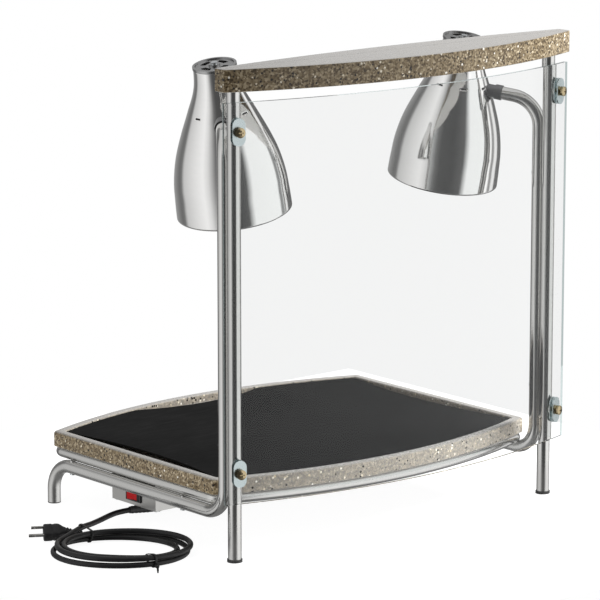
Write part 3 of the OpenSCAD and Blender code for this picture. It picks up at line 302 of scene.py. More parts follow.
def finish(name, colour, **plain):
    """A new finish: the material, its node tree and its shader with plain sockets set."""
    skin = bpy.data.materials.new(name)
    skin.use_nodes = True
    skin.diffuse_color = (*colour, 1)
    shader = skin.node_tree.nodes["Principled BSDF"]
    shader.inputs["Base Color"].default_value = (*colour, 1)
    for socket, value in plain.items():
        shader.inputs[socket.replace("_", " ")].default_value = value
    return skin, skin.node_tree, shader


def coat_with(tree, shader, group, depth, **values):
    """Place a skin group in a finish and wire its colour, roughness and fine relief."""
    skin = add(tree, "Group", {"node_tree": group}, **values)
    tree.links.new(skin.outputs["Colour"], shader.inputs["Base Color"])
    tree.links.new(skin.outputs["Roughness"], shader.inputs["Roughness"])
    relief = add(tree, "Bump", Strength=0.5, Distance=depth, Height=skin.outputs["Height"])
    tree.links.new(relief.outputs["Normal"], shader.inputs["Normal"])


def moulding(name, colour, roughness, grain=900.0, bloom=0.1, depth=0.00006, **plain):
    """A moulded plastic or rubber finish."""
    skin, tree, shader = finish(name, colour, **plain)
    coat_with(tree, shader, moulded, depth,
              Colour=(*colour, 1), Roughness=roughness, Grain=grain, Bloom=bloom)
    return skin


lead_snug = 0.985
lead = line_curve("Mains_Lead", lead_route, lead_snug * lead_d / 2)
jacket = moulding("Cord_Jacket", (0.006, 0.006, 0.0065), 0.34, grain=500.0, bloom=0.01,
                  Specular_IOR_Level=0.3)
lead.data.materials.append(jacket)
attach(lead, "station")
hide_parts("cord_lead", "cord_coil")

# Plug: a moulded body rolled on its side, with a ribbed neck that runs into the lead.
# One piece of black vinyl over the three nickel pins, which the solids give.
plug_turn, plug_roll = math.atan2(off_coil.y, off_coil.x), math.radians(-48)
neck_l, neck_r, neck_start_r, neck_sides = 0.020, 0.007, 0.0048, 36
rib_count, rib_start, rib_pitch, rib_r, rib_gain = 4, 0.0018, 0.0042, 0.0056, 0.00042
body_snug = 0.95
body_line = [(-0.0010, 0.0072, 0.0072, 2.0), (0.0015, 0.0080, 0.0078, 2.3),
             (0.0045, 0.0098, 0.0092, 2.9), (0.0075, 0.0112, 0.0104, 3.4),
             (0.0100, 0.0116, 0.0107, 3.4), (0.0140, 0.0116, 0.0107, 3.4),
             (0.0150, 0.0111, 0.0102, 3.4), (0.0170, 0.0111, 0.0102, 3.4),
             (0.0180, 0.0117, 0.0108, 3.4), (0.0270, 0.0117, 0.0108, 3.4),
             (0.0284, 0.0113, 0.0104, 3.4), (0.0290, 0.0104, 0.0095, 3.4)]


def mesh_object(name, bm, skin, smooth_angle=35):
    """Close a mesh, shade it smooth with crisp edges past an angle, and give it its finish."""
    bmesh.ops.recalc_face_normals(bm, faces=bm.faces)
    for face in bm.faces:
        face.smooth = True
    for edge in bm.edges:
        edge.smooth = not edge.is_manifold or edge.calc_face_angle(0) < math.radians(smooth_angle)
    mesh = bpy.data.meshes.new(name)
    bm.to_mesh(mesh)
    bm.free()
    mesh.materials.append(skin)
    made = bpy.data.objects.new(name, mesh)
    bpy.context.scene.collection.objects.link(made)
    return made


def loft(bm, loops, closed=False):
    """Skin a row of equal loops of points, and cap its ends unless it closes on itself."""
    rows = [[bm.verts.new(p) for p in loop] for loop in loops]
    for a, b in zip(rows, rows[1:] + ([rows[0]] if closed else [])):
        for k in range(len(a)):
            bm.faces.new((a[k - 1], a[k], b[k], b[k - 1]))
    if not closed:
        bm.faces.new(rows[0])
        bm.faces.new(list(reversed(rows[-1])))


def circle(radius, z, sides, start=0):
    """Points round a level ring."""
    turns = [2 * math.pi * (k + start) / sides for k in range(sides)]
    return [Vector((radius * math.cos(a), radius * math.sin(a), z)) for a in turns]


def soft_box(half_w, half_h, power, count=48):
    """A rounded rectangle of points."""
    points = []
    for k in range(count):
        c, s = math.cos(2 * math.pi * k / count), math.sin(2 * math.pi * k / count)
        points.append((half_w * math.copysign(abs(c) ** (2 / power), c),
                       half_h * math.copysign(abs(s) ** (2 / power), s)))
    return points


plug_bm = bmesh.new()
neck_frame = (Matrix.Translation(tail_end) @ Matrix.Rotation(plug_turn, 4, "Z")
              @ Matrix.Rotation(math.pi / 2 - neck_tilt, 4, "Y"))
neck_line = [(neck_start_r, 0.0)]
for rib in range(rib_count):
    start = rib_start + rib * rib_pitch
    swell = rib_r + rib * rib_gain
    neck_line += [(swell - 0.0011, start), (swell, start + 0.0005),
                  (swell + 0.0001, start + 0.0021), (swell - 0.0010, start + 0.0027)]
neck_line.append((neck_r, neck_l + 0.0006))
loft(plug_bm, [[neck_frame @ p for p in circle(r, z, neck_sides)] for r, z in neck_line])
plug_at = tail_end + neck_l * tail_dir
body_frame = (Matrix.Translation(plug_at) @ Matrix.Rotation(plug_turn, 4, "Z")
              @ Matrix.Rotation(plug_roll, 4, "X"))
loft(plug_bm, [[body_frame @ Vector((x, body_snug * y, body_snug * z)) for y, z in soft_box(w, h, power)]
               for x, w, h, power in body_line])
vinyl = moulding("Plug_Vinyl", (0.008, 0.008, 0.0085), 0.4, grain=1400.0, bloom=0.02,
                 Specular_IOR_Level=0.3)
plug = mesh_object("Mains_Plug", plug_bm, vinyl)
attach(plug, "station")
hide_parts("cord_plug")

# Drawn metal: polish lines along the draw, soft smudges, and a faint drift in the colour
drawn, given, put = node_group(
    "Drawn_Metal",
    [("Colour", "Color", (0.7, 0.7, 0.7, 1)), ("Roughness", "Float", 0.15),
     ("Lines", "Vector", (400.0, 400.0, 6.0)), ("Smudge", "Float", 0.08)],
    [("Colour", "Color"), ("Roughness", "Float"), ("Height", "Float")])
place = add(drawn, "TexCoord").outputs["Object"]
stretched = vector_calc(drawn, "MULTIPLY", place, given["Lines"])
lines = add(drawn, "TexNoise", Vector=stretched, Scale=1.0, Detail=5.0, Roughness=0.65).outputs["Fac"]
smear = add(drawn, "TexNoise", Vector=place, Scale=16.0, Detail=4.0, Roughness=0.62, Distortion=0.4)
drawn.links.new(lines, put["Height"])
smudge = span(drawn, smear.outputs["Fac"], 0.38, 0.72, 0.0, 1.0)
smudge = calc(drawn, "MULTIPLY", smudge, given["Smudge"])
rough = calc(drawn, "ADD", smudge, span(drawn, lines, 0.3, 0.7, -0.03, 0.03))
rough = calc(drawn, "ADD", rough, given["Roughness"], clamp=True)
drawn.links.new(rough, put["Roughness"])
drift = span(drawn, lines, 0.25, 0.75, 0.96, 1.03)
tone = add(drawn, "VectorMath", {"operation": "SCALE"}, _0=given["Colour"], Scale=drift)
drawn.links.new(tone.outputs[0], put["Colour"])


def metal(name, colour, roughness, lines, smudge=0.06, depth=0.00001):
    """A drawn, rolled or plated metal finish, its lines to the metre along each axis or all three."""
    along = lines if isinstance(lines, tuple) else (lines, lines, lines)
    skin, tree, shader = finish(name, colour, Metallic=1.0)
    coat_with(tree, shader, drawn, depth,
              Colour=(*colour, 1), Roughness=roughness, Lines=along, Smudge=smudge)
    return skin


def dress(skin, *nodes):
    """Give solids their finish."""
    for name in nodes:
        frame["nodes"][name].material_slots[0].material = skin


nickel = metal("Pin_Nickel", (0.34, 0.335, 0.32), 0.22, 900.0)
dress(nickel, "plug_pins")

# Coil ties: two black nylon straps drawn tight round the turns of the lead.
# Each passes through its own moulded head, and its cut tail stands out past it.
tie_w, tie_t, tie_gap = 0.0036, 0.0011, 0.0005
tie_section = ((-0.5, -0.4), (-0.5, 0.4), (-0.3, 0.5), (0.3, 0.5), (0.5, 0.4), (0.5, -0.4),
               (0.3, -0.5), (-0.3, -0.5))
tie_floor, tie_reach, run_steps, lead_steps = 0.0002, 0.03, 2400, 24
head_z, head_sink, tail_out = 0.0042, 0.0006, 0.0036
head_line = ((0, 0.0022, 0.0024), (0.0005, 0.0026, 0.0028), (0.0040, 0.0026, 0.0028),
             (0.0046, 0.0022, 0.0024))
lead_runs = [coil_point(coil_turns * i / run_steps) for i in range(run_steps + 1)]
lead_runs += [a.lerp(b, k / lead_steps) for a, b in zip(lead_route[:lead_in], lead_route[1:lead_in + 1])
              for k in range(lead_steps)]


def hull_round(spots, radius):
    """The line of a band drawn tight round discs, anticlockwise."""
    ring_turns = [math.pi * k / 12 for k in range(24)]
    points = sorted({(round(x + radius * math.cos(a), 7), round(z + radius * math.sin(a), 7))
                     for x, z in spots for a in ring_turns})
    halves = []
    for run in (points, points[::-1]):
        line = []
        for q in run:
            while len(line) > 1 and ((line[-1][0] - line[-2][0]) * (q[1] - line[-2][1])
                                     - (line[-1][1] - line[-2][1]) * (q[0] - line[-2][0])) <= 0:
                line.pop()
            line.append(q)
        halves += line[:-1]
    return halves


nylon_tie = moulding("Tie_Nylon", (0.006, 0.006, 0.0065), 0.4, grain=1800.0, bloom=0.01,
                     Specular_IOR_Level=0.3)
tie_bm = bmesh.new()
for turn, tail_l, tail_turn in ((268, 0.022, 35), (85, 0.005, 0)):
    tie_frame = Matrix.Translation((*coil_mid, 0)) @ Matrix.Rotation(math.radians(turn), 4, "Z")
    seen_from = tie_frame.inverted()
    passing = [seen_from @ p for p in lead_runs]
    spots = [(q.x, q.z) for q in passing if q.x > tie_reach and abs(q.y) < tie_w / 2]
    band = hull_round(spots, lead_d / 2 + tie_gap + tie_t / 2)
    loops = []
    for i, (x, z) in enumerate(band):
        ahead = (Vector(band[(i + 1) % len(band)]) - Vector(band[i - 1])).normalized()
        out_x, out_z = ahead.y, -ahead.x
        loops.append([tie_frame @ Vector((x + tie_t * a * out_x, tie_w * b,
                                          max(z + tie_t * a * out_z, tie_floor)))
                      for a, b in tie_section])
    loft(tie_bm, loops, closed=True)
    side_x = max(x for x, z in band) - head_sink
    loft(tie_bm, [[tie_frame @ Vector((side_x + x, y, head_z + z)) for y, z in soft_box(w, h, 5, 24)]
                  for x, w, h in head_line])
    tail_frame = (tie_frame @ Matrix.Translation((side_x + tail_out, 0, 0))
                  @ Matrix.Rotation(-math.radians(tail_turn), 4, "Z"))
    tail_line = [(0, 0.0016, 0.0031), (0.6 * tail_l, 0.0015, 0.0022), (0.0008 + tail_l, 0.0009, 0.0012)]
    loft(tie_bm, [[tail_frame @ Vector((x, y, low + z)) for y, z in soft_box(w, 0.0006, 5, 24)]
                  for x, w, low in tail_line])
ties = mesh_object("Coil_Ties", tie_bm, nylon_tie)
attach(ties, "station")
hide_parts("coil_ties")

# Posts and lamp tubes: round stainless tube, cut to length for the posts, and one bent length a side
# for the lamps, from the rear foot along the rail, up the riser and over the gooseneck.
# The tubes are duller near the floor, where they are handled and scuffed.
tube_r, tube_sides, bend_steps = 0.0095, 48, 20
post_x, riser_y, foot_y, foot_z = 0.293, -0.1795, 0.221, 0.0015
rail_z, bend_r = 0.061, 0.040
rail_run = [y / 1000 for y in range(160, -139, -20)]
riser_run = [z / 1000 for z in range(120, 541, 20)]
gooseneck_z, gooseneck_r, arm_run = 0.54628, 0.045, 0.0227
arm_turn, arm_rise = math.radians(53), math.radians(9.8)
scuff_low, scuff_high, scuff_depth = 0.03, 0.085, 0.26


def bend_points(centre, along, aside, a0, a1, radius):
    """Points of a bend in the plane of two directions."""
    turns = [math.radians(a0 + (a1 - a0) * i / bend_steps) for i in range(bend_steps + 1)]
    return [centre + radius * (math.cos(a) * along + math.sin(a) * aside) for a in turns]


def tube_along(bm, path, radius, sides, side, closed=False):
    """Draw a round tube along a path, without twist."""
    loops = []
    last = len(path) - 1
    turns = [2 * math.pi * k / sides for k in range(sides)]
    for i, p in enumerate(path):
        after = path[(i + 1) % len(path)] if closed or i < last else path[last]
        before = path[i - 1] if closed or i > 0 else path[0]
        ahead = (after - before).normalized()
        side = (side - ahead * side.dot(ahead)).normalized()
        other = ahead.cross(side)
        loops.append([p + radius * (math.cos(a) * side + math.sin(a) * other) for a in turns])
    loft(bm, loops, closed=closed)


steel = metal("Tube_Steel", (0.64, 0.635, 0.62), 0.09, (900.0, 900.0, 7.0), smudge=0.05, depth=0.000004)
tree = steel.node_tree
shader = tree.nodes["Principled BSDF"]
sheen = shader.inputs["Roughness"].links[0].from_socket
height = add(tree, "SeparateXYZ", Vector=add(tree, "TexCoord").outputs["Object"]).outputs["Z"]
scuff = span(tree, height, scuff_low, scuff_high, scuff_depth, 0.0)
tree.links.new(calc(tree, "ADD", sheen, scuff), shader.inputs["Roughness"])
back = Vector((0, 1, 0))
for sign, name in ((-1, "left"), (1, "right")):
    x = sign * post_x
    out = Vector((-sign * math.cos(arm_turn), math.sin(arm_turn), 0))
    arm = math.cos(arm_rise) * out + math.sin(arm_rise) * up
    foot_bend = Vector((x, foot_y - bend_r, rail_z - bend_r))
    riser_bend = Vector((x, riser_y + bend_r, rail_z + bend_r))
    neck_bend = Vector((x, riser_y, gooseneck_z)) + gooseneck_r * out
    path = [Vector((x, foot_y, foot_z))]
    path += bend_points(foot_bend, back, up, 0, 90, bend_r)
    path += [Vector((x, y, rail_z)) for y in rail_run]
    path += bend_points(riser_bend, back, up, 270, 180, bend_r)
    path += [Vector((x, riser_y, z)) for z in riser_run]
    path += bend_points(neck_bend, out, up, 180, 90 + math.degrees(arm_rise), gooseneck_r)
    path.append(path[-1] + arm_run * arm)
    tube_bm = bmesh.new()
    tube_along(tube_bm, path, tube_r, tube_sides, Vector((1, 0, 0)))
    lamp_tube = mesh_object(name.capitalize() + "_Lamp_Tube", tube_bm, steel)
    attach(lamp_tube, "station")
    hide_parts(name + "_lamp_tube")
dress(steel, "left_post", "right_post")
rubber = moulding("Glide_Rubber", grey(0.014), 0.6, grain=700.0, bloom=0.12)
dress(rubber, "front_glides", "wire_grommet")
dark_end = moulding("Tube_End", grey(0.05), 0.6, grain=700.0, bloom=0.2)
dress(dark_end, "rear_plugs")
zinc = metal("Bright_Zinc", (0.72, 0.75, 0.76), 0.25, 700.0, smudge=0.1)
dress(zinc, "riser_screws", "rail_screws", "box_screws")

# Shelf: one slab of polished engineered stone, bowed in front and straight at its ends.
# Brown resin holds crushed tan, white and black stone; the arrises are just broken.
# Plugs and studs in the tops of the posts hold it from below.
shelf_z0, shelf_z1, arris, shelf_cap = 0.657, 0.688, 0.0012, 0.012
shelf_half, shelf_corner, least_corner = 0.321, 0.006, 0.003
shelf_front_r, shelf_front_c = 0.830, 0.550
shelf_back_r, shelf_back_c = 2.400, -2.571
shelf_edge = (shelf_half, shelf_front_c, shelf_front_r, shelf_back_c, shelf_back_r, shelf_corner)
grain_scale, chip_scale = 400.0, 230.0
dark_share, pale_share = 0.12, 0.09
black_chip, painted_veil_tone = (0.012, 0.011, 0.01, 1), (0.40, 0.385, 0.36, 1)
painted_sheen_tone, painted_pale_underside = (0.38, 0.365, 0.345, 1), (0.78, 0.77, 0.75, 1)


def bowed_outline(half, front_c, front_r, back_c, back_r, corner, steps=48):
    """An outline with straight sides, bowed front and back edges and rounded corners."""
    front_y = front_c - math.sqrt((front_r - corner) ** 2 - (half - corner) ** 2)
    back_y = back_c + math.sqrt((back_r - corner) ** 2 - (half - corner) ** 2)
    front_a = math.atan2(front_y - front_c, half - corner)
    back_a = math.atan2(back_y - back_c, half - corner)
    spans = ((0, front_c, front_r, -math.pi / 2, front_a, steps),
             (half - corner, front_y, corner, front_a, 0, 8),
             (half - corner, back_y, corner, 0, back_a, 8),
             (0, back_c, back_r, back_a, math.pi / 2, steps))
    right = [(cx + r * math.cos(a0 + (a1 - a0) * i / n), cy + r * math.sin(a0 + (a1 - a0) * i / n))
             for cx, cy, r, a0, a1, n in spans for i in range(n + 1)]
    single = [p for i, p in enumerate(right) if i == 0 or math.dist(p, right[i - 1]) > 1e-6]
    return single + [(-px, py) for px, py in reversed(single[1:-1])]


def edge_loop(inset, z, half, front_c, front_r, back_c, back_r, corner):
    """A slab's outline at a height, set in from its edge."""
    outline = bowed_outline(half - inset, front_c, front_r - inset, back_c, back_r - inset,
                            max(corner - inset, least_corner))
    return [Vector((px, py, z)) for px, py in outline]


def rounding(inset, z, radius, down=False, steps=5):
    """Insets and heights round an arris, from the side onto the face."""
    turn = [math.pi / 2 * i / steps for i in range(steps + 1)]
    lift = -1 if down else 1
    return [(inset + radius * (1 - math.cos(a)), z + lift * radius * (math.sin(a) - 1)) for a in turn]


stone, tree, shader = finish("Speckled_Stone", (0.35, 0.26, 0.13), Specular_IOR_Level=0.3,
                             Coat_Roughness=0.08)
place = add(tree, "TexCoord").outputs["Object"]
wander = add(tree, "TexNoise", Vector=place, Scale=260.0, Detail=2.0)
shift = add(tree, "VectorMath", {"operation": "SCALE"}, _0=wander.outputs["Color"], Scale=0.0005)
place = vector_calc(tree, "ADD", place, shift.outputs[0])
fine = add(tree, "TexVoronoi", Vector=place, Scale=grain_scale)
fleck = add(tree, "SeparateColor", Color=fine.outputs["Color"]).outputs
ground = ramp(tree, fleck[0], (0.0, (0.045, 0.03, 0.016)), (0.25, (0.125, 0.09, 0.048)),
              (0.5, (0.19, 0.142, 0.08)), (0.8, (0.28, 0.22, 0.135)), (1.0, (0.44, 0.365, 0.25)))
facing = add(tree, "SeparateXYZ", Vector=add(tree, "TexCoord").outputs["Normal"]).outputs["Z"]
where = add(tree, "SeparateXYZ", Vector=place).outputs
# Below the shelf's height and inside the slab's ends, the stone is painted half way to a pale grey: a
# painted veil of reflection, like the guard's in front of the slab.
low = span(tree, where["Z"], 0.21, 0.2, 0.0, 0.5)
within = span(tree, calc(tree, "ABSOLUTE", where["X"]), 0.288, 0.282, 0.0, 1.0)
ground = blend(tree, calc(tree, "MULTIPLY", within, low), ground, painted_veil_tone)
coarse = add(tree, "TexVoronoi", Vector=place, Scale=chip_scale)
chip = add(tree, "SeparateColor", Color=coarse.outputs["Color"]).outputs
body = span(tree, coarse.outputs["Distance"], 0.42, 0.34, 0.0, 1.0)
dark = calc(tree, "MULTIPLY", calc(tree, "LESS_THAN", chip[1], dark_share), body)
pale = calc(tree, "MULTIPLY", calc(tree, "GREATER_THAN", chip[1], 1 - pale_share), body)
pale_tone = ramp(tree, chip[2], (0.0, (0.60, 0.50, 0.34)), (0.5, (0.75, 0.68, 0.54)),
                 (1.0, (0.88, 0.86, 0.80)))
mixed = blend(tree, dark, ground, black_chip)
mixed = blend(tree, pale, mixed, pale_tone)
# The tops are painted most of the way to a plain pale grey: a painted sheen standing in for the polish
# seen at a low angle.
mixed = blend(tree, span(tree, facing, 0.55, 0.95, 0.0, 0.82), mixed, painted_sheen_tone)
# The undersides are painted near white: painted light, so that the polished shades reflect them pale.
mixed = blend(tree, span(tree, facing, -0.55, -0.95, 0.0, 0.9), mixed, painted_pale_underside)
tree.links.new(mixed, shader.inputs["Base Color"])
tree.links.new(span(tree, facing, 0.55, 0.95, 0.12, 0.5), shader.inputs["Coat Weight"])
tree.links.new(span(tree, fleck[1], 0.0, 1.0, 0.2, 0.34), shader.inputs["Roughness"])
pits = add(tree, "Bump", Strength=0.25, Distance=0.0001, Height=fine.outputs["Distance"])
tree.links.new(pits.outputs["Normal"], shader.inputs["Normal"])
shelf_bm = bmesh.new()
profile = [(shelf_cap, shelf_z0)] + list(reversed(rounding(0, shelf_z0, arris, down=True)))
profile += rounding(0, shelf_z1, arris) + [(shelf_cap, shelf_z1)]
loft(shelf_bm, [edge_loop(inset, z, *shelf_edge) for inset, z in profile])
shelf = mesh_object("Stone_Shelf", shelf_bm, stone)
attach(shelf, "station")
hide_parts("shelf")
plain_steel = metal("Plain_Steel", (0.42, 0.41, 0.4), 0.38, 500.0, smudge=0.12)
dress(plain_steel, "post_plugs", "shelf_studs", "left_pin_nut", "right_pin_nut", "left_bracket",
      "right_bracket")

# Guard: one bowed sheet of clear acrylic, held on four screws between large plated washers.
# Light gathers in its sawn edges, which look pale green against the clear face.
sheet_tone, sawn_tone = (0.89, 0.895, 0.893), (0.26, 0.33, 0.33)
clear, tree, shader = finish("Clear_Guard", sheet_tone, Roughness=0.0, IOR=1.22, Transmission_Weight=1.0)
edge_on = vector_calc(tree, "ABSOLUTE", add(tree, "TexCoord").outputs["Normal"])
edge_on = add(tree, "SeparateXYZ", Vector=edge_on).outputs
sawn = span(tree, calc(tree, "MAXIMUM", edge_on["X"], edge_on["Z"]), 0.6, 0.8, 0.0, 1.0)
tree.links.new(ramp(tree, sawn, (0.0, sheet_tone), (1.0, sawn_tone)), shader.inputs["Base Color"])
rays = add(tree, "LightPath").outputs
soft = calc(tree, "MAXIMUM", rays["Is Shadow Ray"], rays["Is Diffuse Ray"])
mirrored = calc(tree, "SUBTRACT", rays["Is Glossy Ray"], rays["Is Transmission Ray"])
soft = calc(tree, "MAXIMUM", soft, mirrored)
through = add(tree, "BsdfTransparent", Color=(0.95, 0.96, 0.96, 1))
either = add(tree, "MixShader", _0=soft, _1=shader.outputs[0], _2=through.outputs[0])
tree.links.new(either.outputs[0], tree.nodes["Material Output"].inputs["Surface"])
dress(clear, "guard")
washer_zinc = metal("Washer_Zinc", (0.58, 0.66, 0.67), 0.24, 500.0, smudge=0.14, depth=0.00002)
dress(washer_zinc, "front_washers", "rear_washers")
gold_zinc = metal("Yellow_Zinc", (0.44, 0.36, 0.22), 0.14, 800.0, smudge=0.08)
dress(gold_zinc, "guard_screws")
white_nylon = moulding("White_Nylon", (0.68, 0.68, 0.65), 0.45, grain=1200.0, bloom=0.05)
dress(white_nylon, "guard_spacers", "heater_lead")

# Base slab: the same stone, with a raised rim round a shallow well for the heater.
# The rim is softly rounded on both sides and stands just over the plate.
slab_z0, slab_z1, well_z = 0.085, 0.107, 0.096
slab_half, slab_corner, slab_cap = 0.294, 0.010, 0.02
slab_front_c, slab_back_c, slab_edge_r = 0.558, -0.490, 0.770
rim_w, rim_round, rim_inner_round, well_cap = 0.015, 0.004, 0.0025, 0.01
slab_edge = (slab_half, slab_front_c, slab_edge_r, slab_back_c, slab_edge_r, slab_corner)
profile = [(slab_cap, slab_z0)] + list(reversed(rounding(0, slab_z0, arris, down=True)))
profile += rounding(0, slab_z1, rim_round)
profile += [(rim_w - inset, z) for inset, z in reversed(rounding(0, slab_z1, rim_inner_round))]
profile += [(rim_w, well_z), (rim_w + well_cap, well_z)]
slab_bm = bmesh.new()
loft(slab_bm, [edge_loop(inset, z, *slab_edge) for inset, z in profile])
slab = mesh_object("Stone_Base", slab_bm, stone)
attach(slab, "station")
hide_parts("base_slab")

# Heated plate: a black coated aluminium sheet with fine brush lines, loose on its heating mat.
# Under it lie the silicone mat, a fibre board and the thin sheet that closes the slab's underside.
brush_lines = (28.0, 420.0, 60.0)
black_plate, tree, shader = finish("Black_Plate", grey(0.009), Specular_IOR_Level=0.02)
place = add(tree, "TexCoord").outputs["Object"]
brush = vector_calc(tree, "MULTIPLY", place, brush_lines)
strokes = add(tree, "TexNoise", Vector=brush, Scale=1.0, Detail=6.0, Roughness=0.7).outputs["Fac"]
cloud = add(tree, "TexNoise", Vector=place, Scale=9.0, Detail=4.0).outputs["Fac"]
tone = ramp(tree, strokes, (0.25, grey(0.006)), (0.55, grey(0.011)), (0.8, grey(0.026)))
tree.links.new(tone, shader.inputs["Base Color"])
tree.links.new(span(tree, cloud, 0.3, 0.7, 0.62, 0.74), shader.inputs["Roughness"])
grooves = add(tree, "Bump", Strength=0.3, Distance=0.00002, Height=strokes)
tree.links.new(grooves.outputs["Normal"], shader.inputs["Normal"])
dress(black_plate, "carving_plate")
silicone = moulding("Heater_Silicone", (0.32, 0.09, 0.04), 0.55, grain=450.0, depth=0.0002)
dress(silicone, "heating_mat")
fibre = moulding("Fibre_Board", (0.55, 0.49, 0.36), 0.85, grain=260.0, bloom=0.3, depth=0.0004)
dress(fibre, "insulation_board")
satin_sheet = metal("Satin_Sheet", (0.46, 0.455, 0.44), 0.3, (60.0, 60.0, 900.0), depth=0.00002)
dress(satin_sheet, "bottom_pan", "control_box", "box_cover")

# Edge tube: a slim bright tube bent into a ring under the slab's edge, butted on the side rails.
# Short saddles and screws from below tie it to the rails.
ring_r, ring_z, ring_sides = 0.00775, 0.07725, 28
ring_half, ring_corner, ring_edge_r = 0.28625, 0.016, 0.76225
ring_path = [Vector((px, py, ring_z)) for px, py in
             bowed_outline(ring_half, slab_front_c, ring_edge_r, slab_back_c, ring_edge_r,
                           ring_corner, steps=64)]
ring_bm = bmesh.new()
tube_along(ring_bm, ring_path, ring_r, ring_sides, up, closed=True)
edge_ring = mesh_object("Edge_Tube", ring_bm, steel)
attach(edge_ring, "station")
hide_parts("edge_tube")
dress(steel, "rail_spacers")

# Switch box: folded satin sheet under the slab, with a black rocker switch in its outer side.
# Inside are a ceramic terminal block and a button thermostat; a black elbow gland lets the lead out.
# The rocker is red in a box round its middle and black beyond it.
rocker_mid, lens_half = Vector((-0.275, 0.053, 0.040)), Vector((1.0, 0.0092, 0.0049))
lens_red, margin_black = (0.42, 0.004, 0.006), (0.012, 0.011, 0.011, 1)
black_plastic = moulding("Black_Plastic", (0.014, 0.014, 0.015), 0.38, grain=1500.0, bloom=0.04)
dress(black_plastic, "switch_frame", "cord_gland")
red_lens, tree, shader = finish("Red_Rocker", lens_red, Specular_IOR_Level=0.2)
coat_with(tree, shader, moulded, 0.00002, Colour=(*lens_red, 1), Roughness=0.3, Grain=2000.0, Bloom=0.0)
offset = vector_calc(tree, "SUBTRACT", add(tree, "TexCoord").outputs["Object"], rocker_mid)
past = vector_calc(tree, "DIVIDE", vector_calc(tree, "ABSOLUTE", offset), lens_half)
past = add(tree, "SeparateXYZ", Vector=past).outputs
margin = calc(tree, "GREATER_THAN", calc(tree, "MAXIMUM", past["Y"], past["Z"]), 1.0)
lens_tone = shader.inputs["Base Color"].links[0].from_socket
tree.links.new(blend(tree, margin, lens_tone, margin_black), shader.inputs["Base Color"])
dress(red_lens, "switch_rocker")
ceramic = moulding("White_Ceramic", (0.75, 0.73, 0.68), 0.3, grain=300.0, bloom=0.08, depth=0.00004)
dress(ceramic, "terminal_block", "left_socket", "right_socket")
resin = moulding("Brown_Resin", (0.10, 0.045, 0.02), 0.4, grain=800.0)
dress(resin, "thermostat")

# Heat lamps: spun and polished aluminium shades on a swivel, each hung from the end of its gooseneck.
# A collar rides on the coupling's hollow pin; inside, a bracket carries the ceramic socket and the bulb.
shade_top, shade_l, shade_wall = 0.0676, 0.212, 0.0012
neck_rad, mouth_rad = 0.030, 0.081
shade_share = (0, 0.14, 0.29, 0.45, 0.6, 0.75, 0.88, 1)
shade_swell = (0, 0.071, 0.317, 0.595, 0.815, 0.943, 0.983, 1)
shade_sides, shade_rows = 160, 96
slot_low, slot_high, slot_turn, slot_pitch = 0.0049, 0.0071, 5.6, 45
swivel_way, swivel_clear = 180, 18
swivel_at = (-0.22042, -0.08318, 0.605)


def shade_radius(share):
    """The spun profile: a smooth curve through the swell at each share of the length."""
    i = max(k for k in range(len(shade_share) - 1) if shade_share[k] <= share + 1e-9)
    t = (share - shade_share[i]) / (shade_share[i + 1] - shade_share[i])
    a, b, c, d = (shade_swell[min(max(i + k, 0), len(shade_swell) - 1)] for k in (-1, 0, 1, 2))
    swell = (b + t * (c - a) / 2 + t * t * (a - 2.5 * b + 2 * c - d / 2)
             + t * t * t * (1.5 * b - 1.5 * c + d / 2 - a / 2))
    return neck_rad + swell * (mouth_rad - neck_rad)


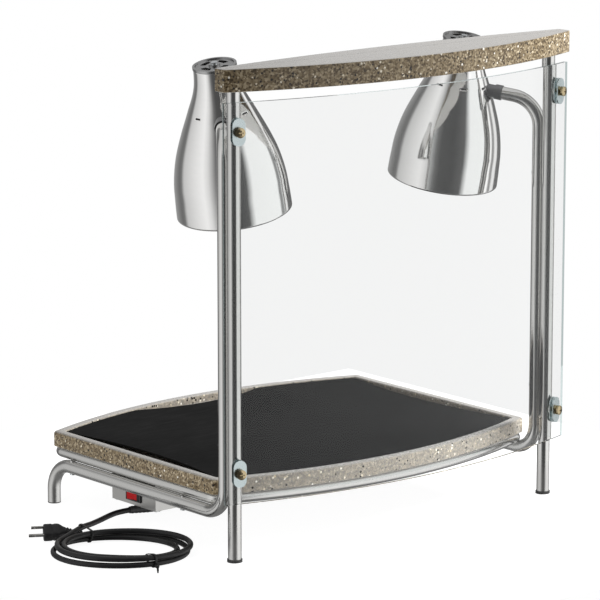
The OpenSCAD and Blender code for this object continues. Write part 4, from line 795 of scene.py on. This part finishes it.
spun = metal("Polished_Shade", (0.84, 0.835, 0.825), 0.07, (60.0, 60.0, 2400.0), smudge=0.03,
             depth=0.0000015)
cap_metal = metal("Cap_Metal", grey(0.42), 0.2, 500.0, smudge=0.1)
coupling_metal = metal("Coupling_Metal", (0.15, 0.15, 0.155), 0.3, 500.0, smudge=0.1)
bulb_glass, tree, shader = finish("Bulb_Glass", (0.86, 0.85, 0.83), IOR=1.5, Coat_Weight=0.4)
place = add(tree, "TexCoord").outputs["Object"]
frost = add(tree, "TexNoise", Vector=place, Scale=700.0, Detail=3.0).outputs["Fac"]
milk = ramp(tree, frost, (0.3, (0.80, 0.79, 0.77)), (0.7, (0.92, 0.91, 0.89)))
tree.links.new(milk, shader.inputs["Base Color"])
tree.links.new(span(tree, frost, 0.3, 0.7, 0.22, 0.34), shader.inputs["Roughness"])
brass = metal("Base_Brass", (0.70, 0.52, 0.26), 0.3, (300.0, 300.0, 900.0))
row_heights = {round(shade_top - shade_l * i / shade_rows, 6) for i in range(shade_rows + 1)}
row_heights = {z for z in row_heights if not slot_low < z < slot_high} | {slot_low, slot_high}
row_heights = sorted(row_heights, reverse=True)
for sign, name, turn, slot_first in ((-1, "left", -7.5, 0), (1, "right", 6.7, 22.5)):
    hang = (Matrix.Diagonal((-sign, 1, 1, 1)) @ Matrix.Translation(swivel_at)
            @ Matrix.Rotation(arm_turn, 4, "Z") @ Matrix.Rotation(-arm_rise, 4, "Y")
            @ Matrix.Rotation(math.radians(turn), 4, "X"))
    shade_bm = bmesh.new()
    rows = []
    for z in row_heights:
        radius = shade_radius((shade_top - z) / shade_l)
        rows.append([shade_bm.verts.new(hang @ p) for p in circle(radius, z, shade_sides, 0.5)])
    for row, z in enumerate(row_heights[:-1]):
        for k in range(shade_sides):
            way = k * 360 / shade_sides
            off_slot = abs((way - slot_first + slot_pitch / 2) % slot_pitch - slot_pitch / 2)
            if z == slot_high and off_slot < slot_turn and abs(way - swivel_way) > swivel_clear:
                continue
            shade_bm.faces.new((rows[row][k - 1], rows[row][k], rows[row + 1][k], rows[row + 1][k - 1]))
    shade = mesh_object(name.capitalize() + "_Shade", shade_bm, spun)
    wall = shade.modifiers.new("Wall", "SOLIDIFY")
    wall.thickness = shade_wall
    wall.offset = -1
    wall.use_even_offset = True
    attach(shade, name + "_lamp")
    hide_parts(name + "_shade")
    dress(cap_metal, name + "_vent_cap")
    dress(zinc, name + "_cap_screw")
    dress(coupling_metal, name + "_coupling", name + "_collar")
    dress(bulb_glass, name + "_bulb")
    dress(brass, name + "_bulb_base")
